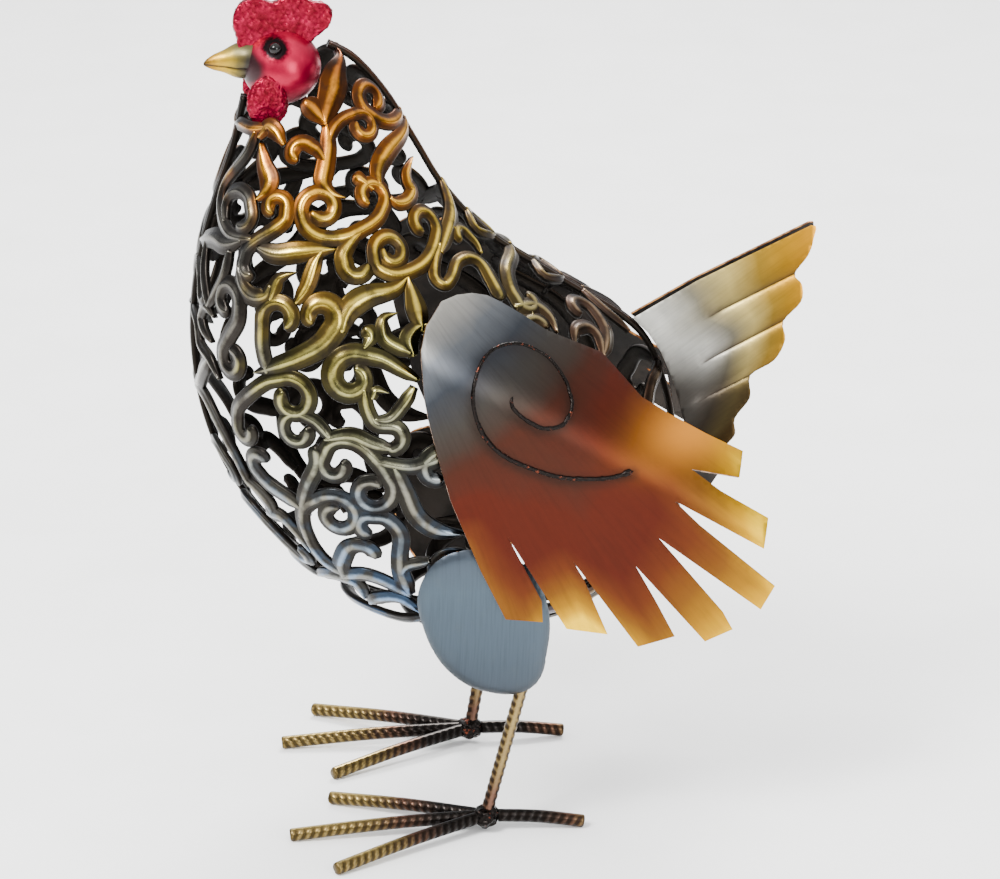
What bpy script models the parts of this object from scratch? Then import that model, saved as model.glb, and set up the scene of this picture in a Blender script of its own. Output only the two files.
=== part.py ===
"""A standing hen of openwork scroll metal with sheet wings, sheet tail, painted head and rod feet."""
import math

import bmesh
import bpy
import numpy as np
from mathutils import Vector, kdtree

# Driving sizes in metres
HEIGHT = 0.376            # ground to the top of the comb
ROD = 0.006               # thickness of the leg and toe rods
SHEET = 0.0012            # thickness of the wing, tail and thigh sheet
RELIEF = 0.0022           # how far the ridge of a scroll stands out from the form
BACKING = 0.0009          # how far a scroll's flat back lies inside the form
SEAM_STRIP = 0.0032       # width of the strip that edges each half at the seam
SEAM_GAP = 0.0003         # gap between the two halves
FIT = 0.0003              # gap where two pieces touch
COMB_THICKNESS = 0.007
WATTLE_THICKNESS = 0.006
BEAD = 0.0016             # height of the bead that is run on each wing

# The figure is drawn on a grid on which it is 376 steps high
DRAWN_HEIGHT = 376.0
STEP = HEIGHT / DRAWN_HEIGHT

# Rings of the body from the lowest point to the head: height, front, back, half width, in steps
RINGS = np.array([
    (88, -12, -12, 0), (91, -40, 18, 32), (99, -66, 43, 51), (114, -89, 60, 63),
    (136, -110, 71.5, 71), (163, -127, 75, 76), (191, -136.5, 71, 78), (219, -140, 58, 76),
    (243, -139, 24, 70), (265, -135, -8, 62), (287, -128.5, -28, 52), (309, -121, -41, 41),
    (330, -116, -53, 29), (347, -112, -67, 20), (355, -108, -80, 14)], float)
FULLNESS = 0.22           # how far the widest place of a ring lies toward the front

# Scroll strokes of one half. Places are (degrees round the ring from the front seam to the back
# seam, ring number). A curl is (degrees turned, first radius, last radius), left turns positive,
# as seen from outside, walked outward from that end. Widths are start, middle and end, in steps.
STROKES = [
    # head end and back of the neck
    (((91, 11.8), (96, 12.1), (108, 12.5), (122, 12.9), (146, 13.3), (160, 13.6)), (5, 11, 5), None, None),
    (((92, 11.8), (86, 12.1), (79, 12.35)), (4, 8, 8), None, None),
    (((92, 11.8), (91, 11.45), (87, 11.1), (84, 10.8), (88, 10.58), (95, 10.48)), (5, 7, 5), None, None),
    (((88, 11.05), (84, 11.32), (78, 11.46)), (4, 6, 5), None, (200, 4.8, 3.4)),
    (((91, 11.45), (97, 11.72), (107, 11.88), (119, 11.93)), (5, 5, 5), None, (-330, 6.0, 3.4)),
    (((178.2, 11.62), (152, 11.58), (138, 11.68), (130, 11.88)), (6, 6, 5), None, (-330, 7.5, 4.0)),
    (((178.2, 11.45), (150, 11.28), (135, 11.17), (124, 11.0), (118, 10.8), (116, 10.52)), (5, 8, 5), None, None),
    (((120, 10.32), (124, 10.2), (131, 10.2), (137, 10.33), (137, 10.5), (140, 10.68), (152, 10.87)),
     (5, 6, 3), None, None),
    (((112, 10.54), (107, 10.72), (102, 10.85)), (4, 5, 8), None, None),
    (((46, 11.72), (30, 11.62), (14, 11.58), (1.2, 11.5)), (5, 5, 5), None, None),
    (((60, 11.45), (53, 11.68), (46, 11.72), (39, 11.5)), (4, 7, 5), None, None),
    # throat
    (((35, 11.6), (28, 11.15), (18, 10.75), (11, 10.4), (12, 10.05), (20, 9.78), (30, 9.62), (44, 9.68)),
     (5, 6, 5), None, None),
    (((23, 9.8), (19, 10.04), (21, 10.3), (29, 10.45), (37, 10.4), (41, 10.18)), (5, 6, 5), None, (-180, 5.5, 3.6)),
    (((41, 11.4), (45, 11.05), (50, 10.8), (49, 10.58), (44, 10.4)), (4, 8, 4), None, None),
    (((63, 10.33), (62, 10.12), (56, 9.93), (48, 9.72), (42, 9.5), (40, 9.25)), (5, 6, 6),
     (260, 4.8, 3.3), (140, 4.6, 3.6)),
    (((1.2, 9.1), (16, 9.38), (27, 9.42), (38, 9.6)), (6, 8, 5), None, None),
    # the long double scroll across the neck and its hook
    (((71, 10.2), (73, 10.0), (79, 9.83), (89, 9.79), (99, 9.88), (109, 10.02), (115, 10.2)), (5, 6, 5),
     (-380, 8.5, 3.4), (300, 7.2, 3.4)),
    (((99, 9.86), (93, 9.71), (88, 9.5), (87, 9.3)), (4, 7, 5), None, (190, 5.4, 4.2)),
    # leaves and hooks of the breast
    (((85, 9.6), (77, 9.6), (67, 9.56), (57, 9.5), (48, 9.56)), (3, 8, 6), None, None),
    (((79, 9.6), (75, 9.38), (72, 9.15), (69, 8.93), (63, 8.62)), (4, 6, 5), None, None),
    (((38, 9.15), (40, 8.8), (45, 8.63), (51, 8.7), (54, 8.92)), (5, 7, 5), None, None),
    (((53, 8.62), (57, 9.0), (61, 9.13), (66, 9.2)), (5, 6, 3), None, None),
    (((46, 7.25), (46, 7.7), (47, 8.0), (48, 8.25)), (6, 6, 6), None, (-245, 8.3, 4.6)),
    (((41, 7.2), (51, 7.43), (59, 7.63), (67, 7.87), (73, 8.15)), (6, 9, 6), None, (265, 7.8, 4.2)),
    (((38, 8.4), (37, 8.1), (33, 7.8), (29, 7.5)), (6, 7, 6), (300, 8, 4.4), (330, 7, 3.8)),
    (((9, 9.2), (11, 8.8), (14, 8.5), (20, 8.1)), (4, 5, 5), None, None),
    (((20, 8.1), (25, 8.5), (29, 8.87), (31, 9.35)), (5, 5, 5), None, None),
    (((22, 7.45), (16, 7.6), (14, 7.8), (18, 8.05), (24, 7.95)), (6, 6, 4), None, None),
    (((1.2, 7.75), (10, 7.6), (13, 7.25), (20, 7.1), (25, 6.85)), (4, 5, 5), None, None),
    (((20, 7.1), (14, 6.8), (8, 6.5), (1.2, 6.4)), (6, 7, 5), None, None),
    (((1.2, 8.75), (9, 8.5), (12, 8.2)), (4, 5, 4), None, (150, 4.2, 3.4)),
    # shoulder scrolls
    (((101, 9.42), (100, 9.2), (104, 9.04), (110, 9.02), (119, 9.1), (128, 9.28), (136, 9.5)), (5, 6, 5),
     (-400, 7.8, 3.4), (300, 7.6, 3.6)),
    (((109, 8.95), (101, 8.78), (91, 8.73), (84, 8.6), (79, 8.4), (75, 8.1)), (3, 9, 6), None, None),
    (((109, 8.95), (105, 8.57), (102, 8.3), (99, 8.0)), (3, 8, 6), None, None),
    (((96, 8.37), (91, 8.32), (88, 8.13), (87, 7.9), (91, 7.65)), (4, 6, 6), None, None),
    (((102, 8.1), (97, 8.04), (93, 7.87), (91, 7.6)), (3, 7, 7), None, None),
    (((83, 8.2), (83, 8.0), (79, 7.8)), (7, 6, 4), None, None),
    (((133, 9.33), (125, 9.1), (119, 8.83), (120, 8.68), (126, 8.78), (134, 8.96), (142, 8.96),
      (144, 8.8), (139, 8.52), (133, 8.2)), (5, 5, 7), None, None),
    (((178.2, 10.15), (160, 9.75), (142, 9.45), (130, 9.2)), (5, 7, 5), None, None),
    (((150, 8.93), (154, 9.1), (155, 9.3)), (5, 5, 5), None, (200, 4.2, 3.4)),
    (((178.2, 8.7), (155, 8.6), (143, 8.35), (138, 8.1)), (6, 7, 5), None, (250, 4.8, 3.6)),
    (((178.2, 9.5), (167, 9.25), (178.2, 8.95)), (5, 5, 5), None, None),
    (((134, 8.05), (142, 7.98), (142, 7.78), (136, 7.5)), (6, 6, 5), None, None),
    (((178.2, 8.4), (168, 8.22), (178.2, 8.0)), (5, 5, 5), None, None),
    (((142, 7.0), (155, 7.3), (163, 7.55)), (6, 6, 5), None, (235, 7.2, 4.0)),
    (((142, 7.0), (149, 7.3), (149, 7.45), (143, 7.45), (136, 7.25)), (4, 6, 6), None, None),
    (((178.2, 7.75), (170, 7.45), (166, 7.1)), (5, 5, 5), None, None),
    # flank scrolls
    (((30, 6.2), (32, 6.5), (38, 6.8), (45, 7.08), (51, 7.2)), (6, 6, 6), (230, 5, 3.6), (-345, 9.5, 4.4)),
    (((61, 6.25), (58, 6.5), (55, 6.6)), (5, 5, 5), None, (330, 7.8, 4.2)),
    (((88, 7.2), (85, 7.4), (82, 7.6), (77, 7.7)), (4, 8, 5), None, (375, 10.3, 3.6)),
    (((73, 7.1), (72, 6.8), (73, 6.53), (77, 6.48)), (5, 6, 5), None, (-190, 5.2, 5.2)),
    (((76, 6.12), (71, 6.2), (66, 6.33), (59, 6.26)), (5, 7, 5), None, None),
    (((74, 6.93), (76, 7.07), (79, 7.02)), (5, 6, 3), None, None),
    (((73, 6.6), (77, 6.6), (81, 6.8), (86, 7.1)), (4, 5, 5), None, None),
    (((57, 5.93), (60, 6.17), (64, 6.25), (68, 6.17), (71, 5.93), (73, 5.6)), (6, 6, 6),
     (250, 5.8, 3.8), (-370, 9.3, 3.8)),
    (((56, 6.15), (55, 5.82), (51, 5.5), (47, 5.15), (43, 4.75), (41, 4.45), (40, 4.15), (41, 3.88),
      (46, 3.7)), (7, 6, 7), None, None),
    (((45, 5.0), (41, 5.13), (36, 5.27), (33, 5.45)), (6, 7, 5), None, (-200, 6, 4.4)),
    (((25, 5.25), (31, 4.95), (31, 4.65)), (4, 8, 5), None, None),
    (((43, 4.8), (47, 5.05), (53, 5.24)), (6, 6, 6), None, (-430, 10.3, 3.6)),
    (((65, 4.97), (69, 4.93), (71, 4.65), (68, 4.22), (66, 3.87), (65, 3.4)), (7, 6, 7), (200, 5, 4), None),
    (((44, 3.6), (47, 3.93), (52, 4.25)), (7, 7, 4), None, (-160, 8.2, 5.2)),
    (((43, 3.62), (52, 3.76), (57, 3.72), (61, 3.57), (65, 3.35)), (7, 6, 5), None, None),
    (((28, 3.4), (39, 3.58), (47, 3.5), (45, 3.1)), (5, 7, 5), None, None),
    (((45, 2.95), (52, 3.17), (60, 3.22), (64, 2.85)), (7, 6, 4), None, None),
    (((27, 4.65), (34, 4.68), (37, 4.45), (38, 4.1)), (8, 6, 5), None, None),
    (((70, 5.95), (75, 5.86), (79, 5.82), (83, 5.87), (89, 5.98)), (5, 6, 7), None, None),
    (((75, 5.85), (76, 5.4), (77, 4.97), (81, 4.7), (88, 4.62)), (6, 7, 6), None, None),
    (((65, 3.8), (69, 4.05), (76, 4.15)), (5, 5, 5), None, None),
    # lower breast beside the front seam
    (((1.2, 6.35), (12, 6.35), (18, 6.1), (24, 5.6), (26, 5.1)), (5, 6, 5), None, None),
    (((1.2, 5.4), (10, 5.5), (16, 5.3)), (5, 5, 5), None, (-240, 5.5, 3.6)),
    (((1.2, 4.4), (12, 4.6), (20, 4.3), (26, 3.8)), (5, 6, 5), None, (220, 5.0, 3.6)),
    (((1.2, 3.4), (14, 3.5), (28, 3.38)), (5, 6, 5), None, None),
    # behind the wing and thigh, plainer
    (((100, 7.55), (108, 7.1), (112, 6.5)), (5, 7, 5), (-250, 8, 4.4), (-250, 8, 4.4)),
    (((126, 7.4), (134, 6.8), (137, 6.2)), (5, 7, 5), (-250, 8, 4.4), (-250, 8, 4.4)),
    (((89, 6.0), (96, 5.7), (103, 5.2)), (5, 7, 5), (250, 8, 4.4), (-250, 8, 4.4)),
    (((112, 5.6), (122, 5.2), (130, 4.7)), (5, 7, 5), (250, 8, 4.4), (-250, 8, 4.4)),
    (((84, 4.2), (92, 3.9), (101, 3.4)), (5, 7, 5), (250, 7, 4.4), (-250, 7, 4.4)),
    (((112, 4.1), (122, 3.7), (132, 3.2)), (5, 7, 5), (250, 7, 4.4), (-250, 7, 4.4)),
    # below the tail
    (((178.2, 6.4), (160, 6.3), (150, 5.9)), (5, 7, 5), None, (250, 8, 4.4)),
    (((178.2, 5.3), (163, 5.0), (152, 4.5)), (5, 7, 5), None, (-260, 8, 4.4)),
    (((178.2, 4.1), (163, 3.9), (150, 3.5)), (5, 7, 5), None, (250, 7.5, 4.4)),
    # underside
    (((1.2, 2.3), (28, 2.5), (50, 2.35), (66, 2.7)), (5, 6, 5), None, None),
    (((178.2, 2.7), (150, 2.5), (125, 2.3), (100, 2.5), (78, 2.6)), (5, 6, 5), None, None),
    (((1.2, 1.25), (45, 1.3), (90, 1.3), (135, 1.3), (178, 1.25)), (5, 5, 5), None, None),
    (((60, 1.35), (72, 1.9), (84, 2.3)), (5, 6, 5), None, (-200, 6, 4.4)),
    (((125, 1.35), (132, 1.8), (140, 2.3)), (5, 6, 5), None, None),
]

# Wing outline from its hub: angle in degrees from straight down toward the tail, and distance
HUB = (-3.2, 213.1)
FEATHERS = [
    ((355.6, 98), (365.1, 100.7), (365.4, 91), (354, 60.5)),
    ((370.6, 106), (379.3, 114.6), (378.4, 86.4), (377.0, 76.6)),
    ((384.1, 126), (391.4, 130.6), (392.2, 111.7), (393, 92.7)),
    ((395.4, 141), (400.5, 145), (401.4, 135.5), (402.8, 89.4)),
    ((406.3, 147.7), (411.0, 145.6), (412.3, 100.5), (414.0, 84)),
    ((415.5, 131), (420.8, 126.5), (421.7, 101.3), (423.7, 84.7)),
    ((425.7, 107.8), (430.5, 107.3), (432.6, 88.8), (436.5, 70)),
]
SHOULDER = [(441.8, 56.2), (452, 47), (464.7, 40.4), (484, 30.7), (508, 26.9), (533.8, 30.6), (548.5, 36.5),
            (556.8, 41.6), (564.2, 46), (571.2, 50), (578.2, 53.4), (589.7, 53.3), (599.7, 50.3), (613.6, 44.7),
            (625, 42.3), (637.6, 40.9), (650.7, 41.1), (663, 43.3), (683.3, 52.4), (696.9, 63.4), (706.2, 77)]
SPIRAL = [(-125, 4.2), (-32, 4.5), (14, 7.9), (41, 16.3), (58, 21.7), (77, 23.5), (93, 22.2), (120, 20.2),
          (154, 19.8), (181, 21.7), (214, 24.4), (247, 22.3), (283, 20.5), (322, 22.2), (363.5, 28.6),
          (391.4, 41.5), (409, 54.9), (415.5, 60.3)]

# Tail sheet outline, length and height, the heights of its root and the grooves between feathers
TAIL = [(84.3, 240.2), (110.7, 252.8), (135.8, 264.6), (136.6, 258.5), (134.0, 251.5), (128.0, 243.5),
        (131.0, 239.2), (130.4, 231.8), (122.4, 223.2), (122.9, 215.5), (117.8, 206.5), (107.2, 199.9),
        (106.6, 190.6), (99.7, 181.7), (99.6, 175.0), (95.8, 170.5)]
TAIL_ROOT = [170, 180, 190, 200, 210, 218, 224.2]
GROOVES = [((88.3, 224.2), (128.0, 243.5)), ((84.9, 204.3), (122.1, 223.1)), ((81.1, 187.2), (107.2, 199.8))]

# Thigh outline round its middle: distance at even angles from straight up toward the tail
THIGH_MIDDLE = (-18.5, 109.0)
THIGH = [37, 33, 29, 28.6, 32.5, 42.5, 36.5, 29.5, 26, 27, 33.5, 39]

LINK = 4.0                # width of a short weld between two strokes, in steps
BOLD = 1.22               # how much wider the strokes are than drawn


def srgb(text):
    """A colour from its hex text, as linear values."""
    values = [int(text[i:i + 2], 16) / 255 for i in (0, 2, 4)]
    return [v / 12.92 if v <= 0.04045 else ((v + 0.055) / 1.055) ** 2.4 for v in values]


def metal(name, colour, roughness, metallic):
    """One plain metal or paint."""
    made = bpy.data.materials.new(name)
    made.use_nodes = True
    shader = made.node_tree.nodes["Principled BSDF"]
    shader.inputs["Base Color"].default_value = (*srgb(colour), 1)
    shader.inputs["Roughness"].default_value = roughness
    shader.inputs["Metallic"].default_value = metallic
    return made


def catmull(rows, at):
    """The smooth curve through rows at a place counted in rows."""
    at = min(max(at, 0.0), len(rows) - 1.0)
    i = min(int(at), len(rows) - 2)
    f = at - i
    a, b = rows[i], rows[i + 1]
    before = rows[i - 1] if i else 2 * a - b
    after = rows[i + 2] if i + 2 < len(rows) else 2 * b - a
    return 0.5 * (2 * a + (b - before) * f + (2 * before - 5 * a + 4 * b - after) * f * f
                  + (3 * a - before - 3 * b + after) * f ** 3)


LOWEST = np.array([RINGS[1][0], RINGS[1][2], RINGS[1][1], -RINGS[1][3]])


def ring(t):
    """Height, front, back and half width at a ring number."""
    return catmull(np.vstack([LOWEST, RINGS]), t + 1)


def form(angle, t):
    """A point of the body's form, in steps."""
    height, front, back, wide = ring(t)
    turn = math.radians(angle)
    along = (front + back) / 2 - (back - front) / 2 * math.cos(turn)
    across = wide * math.sin(turn) * (1 + FULLNESS * math.cos(turn))
    return Vector((across, along, height))


def slopes(angle, t):
    """How the form moves per degree and per ring, and its outward direction."""
    per_angle = form(angle + 0.5, t) - form(angle - 0.5, t)
    per_ring = (form(angle, t + 0.01) - form(angle, t - 0.01)) / 0.02
    return per_angle, per_ring, per_angle.cross(per_ring).normalized()


def move(place, heading, length):
    """A place further along a heading that lies in the form."""
    per_angle, per_ring, out = slopes(*place)
    g11, g12, g22 = per_angle.dot(per_angle), per_angle.dot(per_ring), per_ring.dot(per_ring)
    r1, r2 = per_angle.dot(heading) * length, per_ring.dot(heading) * length
    det = max(g11 * g22 - g12 * g12, 1e-9)
    angle = place[0] + (g22 * r1 - g12 * r2) / det
    t = place[1] + (g11 * r2 - g12 * r1) / det
    return (min(max(angle, 1.5), 178.5), min(max(t, 0.4), 13.9))


def curl(place, heading, turned, first, last):
    """Places of a curl that tightens from one radius to another."""
    places = []
    sign = 1 if turned > 0 else -1
    done = 0.0
    while done < abs(turned):
        radius = first + (last - first) * done / abs(turned)
        length = radius * math.radians(12)
        out = slopes(*place)[2]
        heading = (heading - out * heading.dot(out)).normalized()
        side = out.cross(heading)
        heading = (heading + side * sign * math.tan(math.radians(6))).normalized()
        place = move(place, heading, length)
        heading = (heading + side * sign * math.tan(math.radians(6))).normalized()
        places.append(place)
        done += 12
    return places


def stroke_places(through, start, end):
    """The places of a stroke: its curls and the smooth line through its points."""
    rows = [np.array(p, float) for p in through]
    fine = 6
    line = [tuple(catmull(rows, i / fine)) for i in range((len(rows) - 1) * fine + 1)]
    if start:
        heading = (form(*line[0]) - form(*line[1])).normalized()
        line = curl(line[0], heading, *start)[::-1] + line
    if end:
        heading = (form(*line[-1]) - form(*line[-2])).normalized()
        line = line + curl(line[-1], heading, *end)
    return line


def share_widths(count, widths):
    """Widths along a stroke from its start, middle and end widths."""
    rows = [np.array([w], float) for w in widths]
    return [float(catmull(rows, 2 * i / (count - 1))[0]) for i in range(count)]


def thinned(places, widths, turn_limit, length_limit, bulbs):
    """Fewer places: a new one wherever the stroke has turned or run far enough."""
    points = [form(*p) for p in places]
    keep = [0]
    turned, run = 0.0, 0.0
    for i in range(1, len(points) - 1):
        a = (points[i] - points[i - 1])
        b = (points[i + 1] - points[i])
        if a.length < 1e-6 or b.length < 1e-6:
            continue
        turned += math.degrees(a.angle(b))
        run += a.length
        if (turned > turn_limit and run > 1.5) or run > length_limit:
            keep.append(i)
            turned, run = 0.0, 0.0
    keep.append(len(points) - 1)
    sizes = [widths[i] for i in keep]
    if bulbs[0] and len(sizes) > 2:
        sizes[0], sizes[1] = 4.5, 7.2
    if bulbs[1] and len(sizes) > 2:
        sizes[-1], sizes[-2] = 4.5, 7.2
    return [places[i] for i in keep], sizes


def section(place, heading, width, lift):
    """Base edges and ridge of a stroke's cross section, in metres."""
    point = form(*place) * STEP
    out = slopes(*place)[2]
    side = out.cross(heading).normalized() * (width * STEP / 2)
    low = point - out * (BACKING + lift)
    return low - side, low + side, point + out * (RELIEF + lift)


def strip(places, sizes, lift):
    """Vertices and faces of one stroke, a strip with a ridge."""
    points = [form(*p) for p in places]
    verts, faces = [], []
    for i, place in enumerate(places):
        ahead = points[min(i + 1, len(points) - 1)] - points[max(i - 1, 0)]
        verts += [tuple(v) for v in section(place, ahead.normalized(), sizes[i], lift)]
    for i in range(len(places) - 1):
        a, b = 3 * i, 3 * i + 3
        faces += [(a, a + 1, b + 1, b), (a + 1, a + 2, b + 2, b + 1), (a + 2, a, b, b + 2)]
    last = 3 * (len(places) - 1)
    faces += [(2, 1, 0), (last, last + 1, last + 2)]
    return verts, faces


def chords(places, widths):
    """Even points along the straight runs between a stroke's places, with their place and width."""
    rows = []
    for i in range(len(places) - 1):
        a, b = form(*places[i]), form(*places[i + 1])
        count = max(int((b - a).length / 1.5), 1)
        for k in range(count):
            f = k / count
            place = tuple(u + (v - u) * f for u, v in zip(places[i], places[i + 1]))
            rows.append((a.lerp(b, f), place, widths[i] + (widths[i + 1] - widths[i]) * f))
    rows.append((form(*places[-1]), places[-1], widths[-1]))
    return rows


def near_pairs(lines):
    """For every two strokes the gap between them and the places where it is smallest."""
    found = []
    rows = [chords(*line) for line in lines]
    clouds = []
    for row in rows:
        tree = kdtree.KDTree(len(row))
        for i, (point, _, _) in enumerate(row):
            tree.insert(point, i)
        tree.balance()
        clouds.append(tree)
    for i in range(len(rows)):
        for j in range(i + 1, len(rows)):
            best = None
            for point, place, width in rows[i]:
                _, index, apart = clouds[j].find(point)
                free = apart - 0.27 * (width + rows[j][index][2])
                if best is None or free < best[0]:
                    best = (free, i, j, place, rows[j][index][1])
            found.append(best)
    return sorted(found)


def links(lines):
    """Short welds that join strokes which don't touch, nearest first."""
    group = list(range(len(lines)))
    made = []
    for free, i, j, here, there in near_pairs(lines):
        if group[i] == group[j]:
            continue
        old, new = group[j], group[i]
        group = [new if g == old else g for g in group]
        if free > 0:
            a, b = np.array(here), np.array(there)
            ends = [tuple(a + (b - a) * f) for f in (0.0, 1.0)]
            made.append((ends, [LINK, LINK]))
    return made


def seam_line():
    """Places along the seam from the throat down under the body and up the back."""
    front = [(0.0, t) for t in np.linspace(12.1, 0.0, 40)]
    back = [(180.0, t) for t in np.linspace(0.0, 13.9, 44)][1:]
    return front + back


def seam_strip():
    """A flat strip that edges one half at the seam."""
    line = seam_line()
    points = [form(*p) for p in line]
    rows = []
    for i, point in enumerate(points):
        ahead = (points[min(i + 1, len(points) - 1)] - points[max(i - 1, 0)]).normalized()
        out = Vector((0, -ahead.z, ahead.y))
        rows.append((point, -out, ahead))
    keep = [0]
    turned = 0.0
    for i in range(1, len(rows) - 1):
        turned += math.degrees(rows[i][2].angle(rows[i - 1][2]))
        if turned > 11:
            keep.append(i)
            turned = 0.0
    keep.append(len(rows) - 1)
    verts, faces = [], []
    near, far = SEAM_GAP / 2, SEAM_GAP / 2 + SEAM_STRIP
    for i in keep:
        point, out, _ = rows[i]
        inner = point * STEP + out * (BACKING + 0.0004)
        outer = point * STEP - out * (RELIEF * 0.55)
        for base, across in ((inner, near), (inner, far), (outer, far), (outer, near)):
            verts.append((across, base.y, base.z))
    for n in range(len(keep) - 1):
        a, b = 4 * n, 4 * n + 4
        for k in range(4):
            m = (k + 1) % 4
            faces.append((a + k, a + m, b + m, b + k))
    end = 4 * (len(keep) - 1)
    faces += [(3, 2, 1, 0), (end, end + 1, end + 2, end + 3)]
    return verts, faces


def make(name, verts, faces, where):
    """A mesh object with its faces turned outward."""
    mesh = bpy.data.meshes.new(name)
    mesh.from_pydata([tuple(v) for v in verts], [], faces)
    work = bmesh.new()
    work.from_mesh(mesh)
    bmesh.ops.remove_doubles(work, verts=work.verts[:], dist=1e-6)
    bmesh.ops.recalc_face_normals(work, faces=work.faces[:])
    work.to_mesh(mesh)
    work.free()
    made = bpy.data.objects.new(name, mesh)
    where.objects.link(made)
    return made


def baked(piece):
    """The same object with its modifiers made real."""
    graph = bpy.context.evaluated_depsgraph_get()
    mesh = bpy.data.meshes.new_from_object(piece.evaluated_get(graph))
    piece.modifiers.clear()
    piece.data = mesh
    return piece


def combine(piece, other, kind, solver="EXACT"):
    """One Boolean step with an object or a collection."""
    step = piece.modifiers.new(kind, "BOOLEAN")
    step.operation = kind
    step.solver = solver
    if isinstance(other, bpy.types.Collection):
        step.operand_type = "COLLECTION"
        step.collection = other
    else:
        step.object = other
    return baked(piece)


def without_crumbs(piece):
    """Only the one large body, without loose crumbs that cuts leave behind."""
    work = bmesh.new()
    work.from_mesh(piece.data)
    seen, bodies = set(), []
    for first in work.verts:
        if first in seen:
            continue
        seen.add(first)
        body, waiting = [first], [first]
        while waiting:
            for edge in waiting.pop().link_edges:
                for other in edge.verts:
                    if other not in seen:
                        seen.add(other)
                        body.append(other)
                        waiting.append(other)
        bodies.append(body)
    bodies.sort(key=len)
    crumbs = [v for body in bodies[:-1] if len(body) < 20 for v in body]
    bmesh.ops.delete(work, geom=crumbs, context="VERTS")
    work.to_mesh(piece.data)
    work.free()
    return piece


def cleaned(piece, merge=2e-6):
    """Merge doubles, dissolve slivers and make triangles."""
    work = bmesh.new()
    work.from_mesh(piece.data)
    if merge:
        bmesh.ops.remove_doubles(work, verts=work.verts[:], dist=merge)
        bmesh.ops.dissolve_degenerate(work, edges=work.edges[:], dist=merge / 2)
    bmesh.ops.triangulate(work, faces=work.faces[:])
    work.to_mesh(piece.data)
    work.free()
    return piece


def stroke_lines():
    """Every stroke of one half with its full places and widths."""
    lines = []
    for through, widths, start, end in STROKES:
        places = stroke_places(through, start, end)
        wide = [BOLD * w for w in share_widths(len(places), widths)]
        lines.append((places, wide))
    return lines


def body_half(cutters, head_space):
    """The openwork half on the hen's left."""
    lines = stroke_lines()
    strokes = bpy.data.collections.new("strokes")
    cutters.children.link(strokes)
    pieces = []
    for n, (places, widths) in enumerate(lines):
        start, end = STROKES[n][2], STROKES[n][3]
        pieces.append(thinned(places, widths, 58, 15, (bool(start), bool(end))))
    edge = [(2.5 if angle == 0 else 177.5, t) for angle, t in seam_line()][::2]
    pieces += links(pieces + [(edge, [SEAM_STRIP / STEP] * len(edge))])
    for n, (few, sizes) in enumerate(pieces):
        verts, faces = strip(few, sizes, 0.00004 * (n % 7))
        make(f"stroke_{n}", verts, faces, strokes)
    verts, faces = seam_strip()
    half = make("body_left", verts, faces, cutters)
    half = combine(half, strokes, "UNION", "MANIFOLD")
    side = box("seam_side", (-0.1, -0.5, -0.1), (SEAM_GAP / 2, 0.5, 1.0), cutters)
    half = combine(half, side, "DIFFERENCE", "MANIFOLD")
    half = combine(half, head_space, "DIFFERENCE", "MANIFOLD")
    return cleaned(without_crumbs(half), 0)


def box(name, low, high, where):
    """A box between two corners."""
    xs, ys, zs = zip(low, high)
    verts = [(x, y, z) for x in xs for y in ys for z in zs]
    faces = [(0, 1, 3, 2), (4, 6, 7, 5), (0, 4, 5, 1), (2, 3, 7, 6), (0, 2, 6, 4), (1, 5, 7, 3)]
    return make(name, verts, faces, where)


def mirrored(piece, name, where):
    """The same piece on the other side."""
    verts = [(-v.co.x, v.co.y, v.co.z) for v in piece.data.vertices]
    faces = [tuple(reversed(f.vertices)) for f in piece.data.polygons]
    mesh = bpy.data.meshes.new(name)
    mesh.from_pydata(verts, [], faces)
    made = bpy.data.objects.new(name, mesh)
    where.objects.link(made)
    return made


def ball(name, centre, radii, around, up, where, grow=0.0):
    """An egg-like ball at a place given in steps, its radii grown by a gap in metres."""
    verts, faces = [], []
    sizes = [r * STEP + grow for r in radii]
    middle = Vector(centre) * STEP
    for j in range(1, up):
        high = math.pi * j / up
        for i in range(around):
            turn = 2 * math.pi * i / around
            way = Vector((math.sin(high) * math.cos(turn), math.sin(high) * math.sin(turn), math.cos(high)))
            verts.append(middle + Vector([a * b for a, b in zip(way, sizes)]))
    top, bottom = len(verts), len(verts) + 1
    verts += [middle + Vector((0, 0, sizes[2])), middle - Vector((0, 0, sizes[2]))]
    for i in range(around):
        k = (i + 1) % around
        faces.append((top, i, k))
        last = (up - 2) * around
        faces.append((bottom, last + k, last + i))
        for j in range(up - 2):
            a, b = j * around, (j + 1) * around
            faces.append((a + i, b + i, b + k, a + k))
    return make(name, verts, faces, where)


HEAD = ((0, -99.0, 344.5), (16.5, 17.3, 16.6))
EYE = ((14.2, -102.4, 353.2), (3.6, 3.9, 3.9))


def head(where, cutters):
    """The painted face with its two eyes as one casting."""
    face = ball("head", *HEAD, 16, 10, where)
    for side in (1, -1):
        centre = (EYE[0][0] * side * 0.9, EYE[0][1], EYE[0][2])
        eye = ball(f"eye_{side}", centre, EYE[1], 8, 6, cutters)
        face = combine(face, eye, "UNION")
    return cleaned(face)


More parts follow.
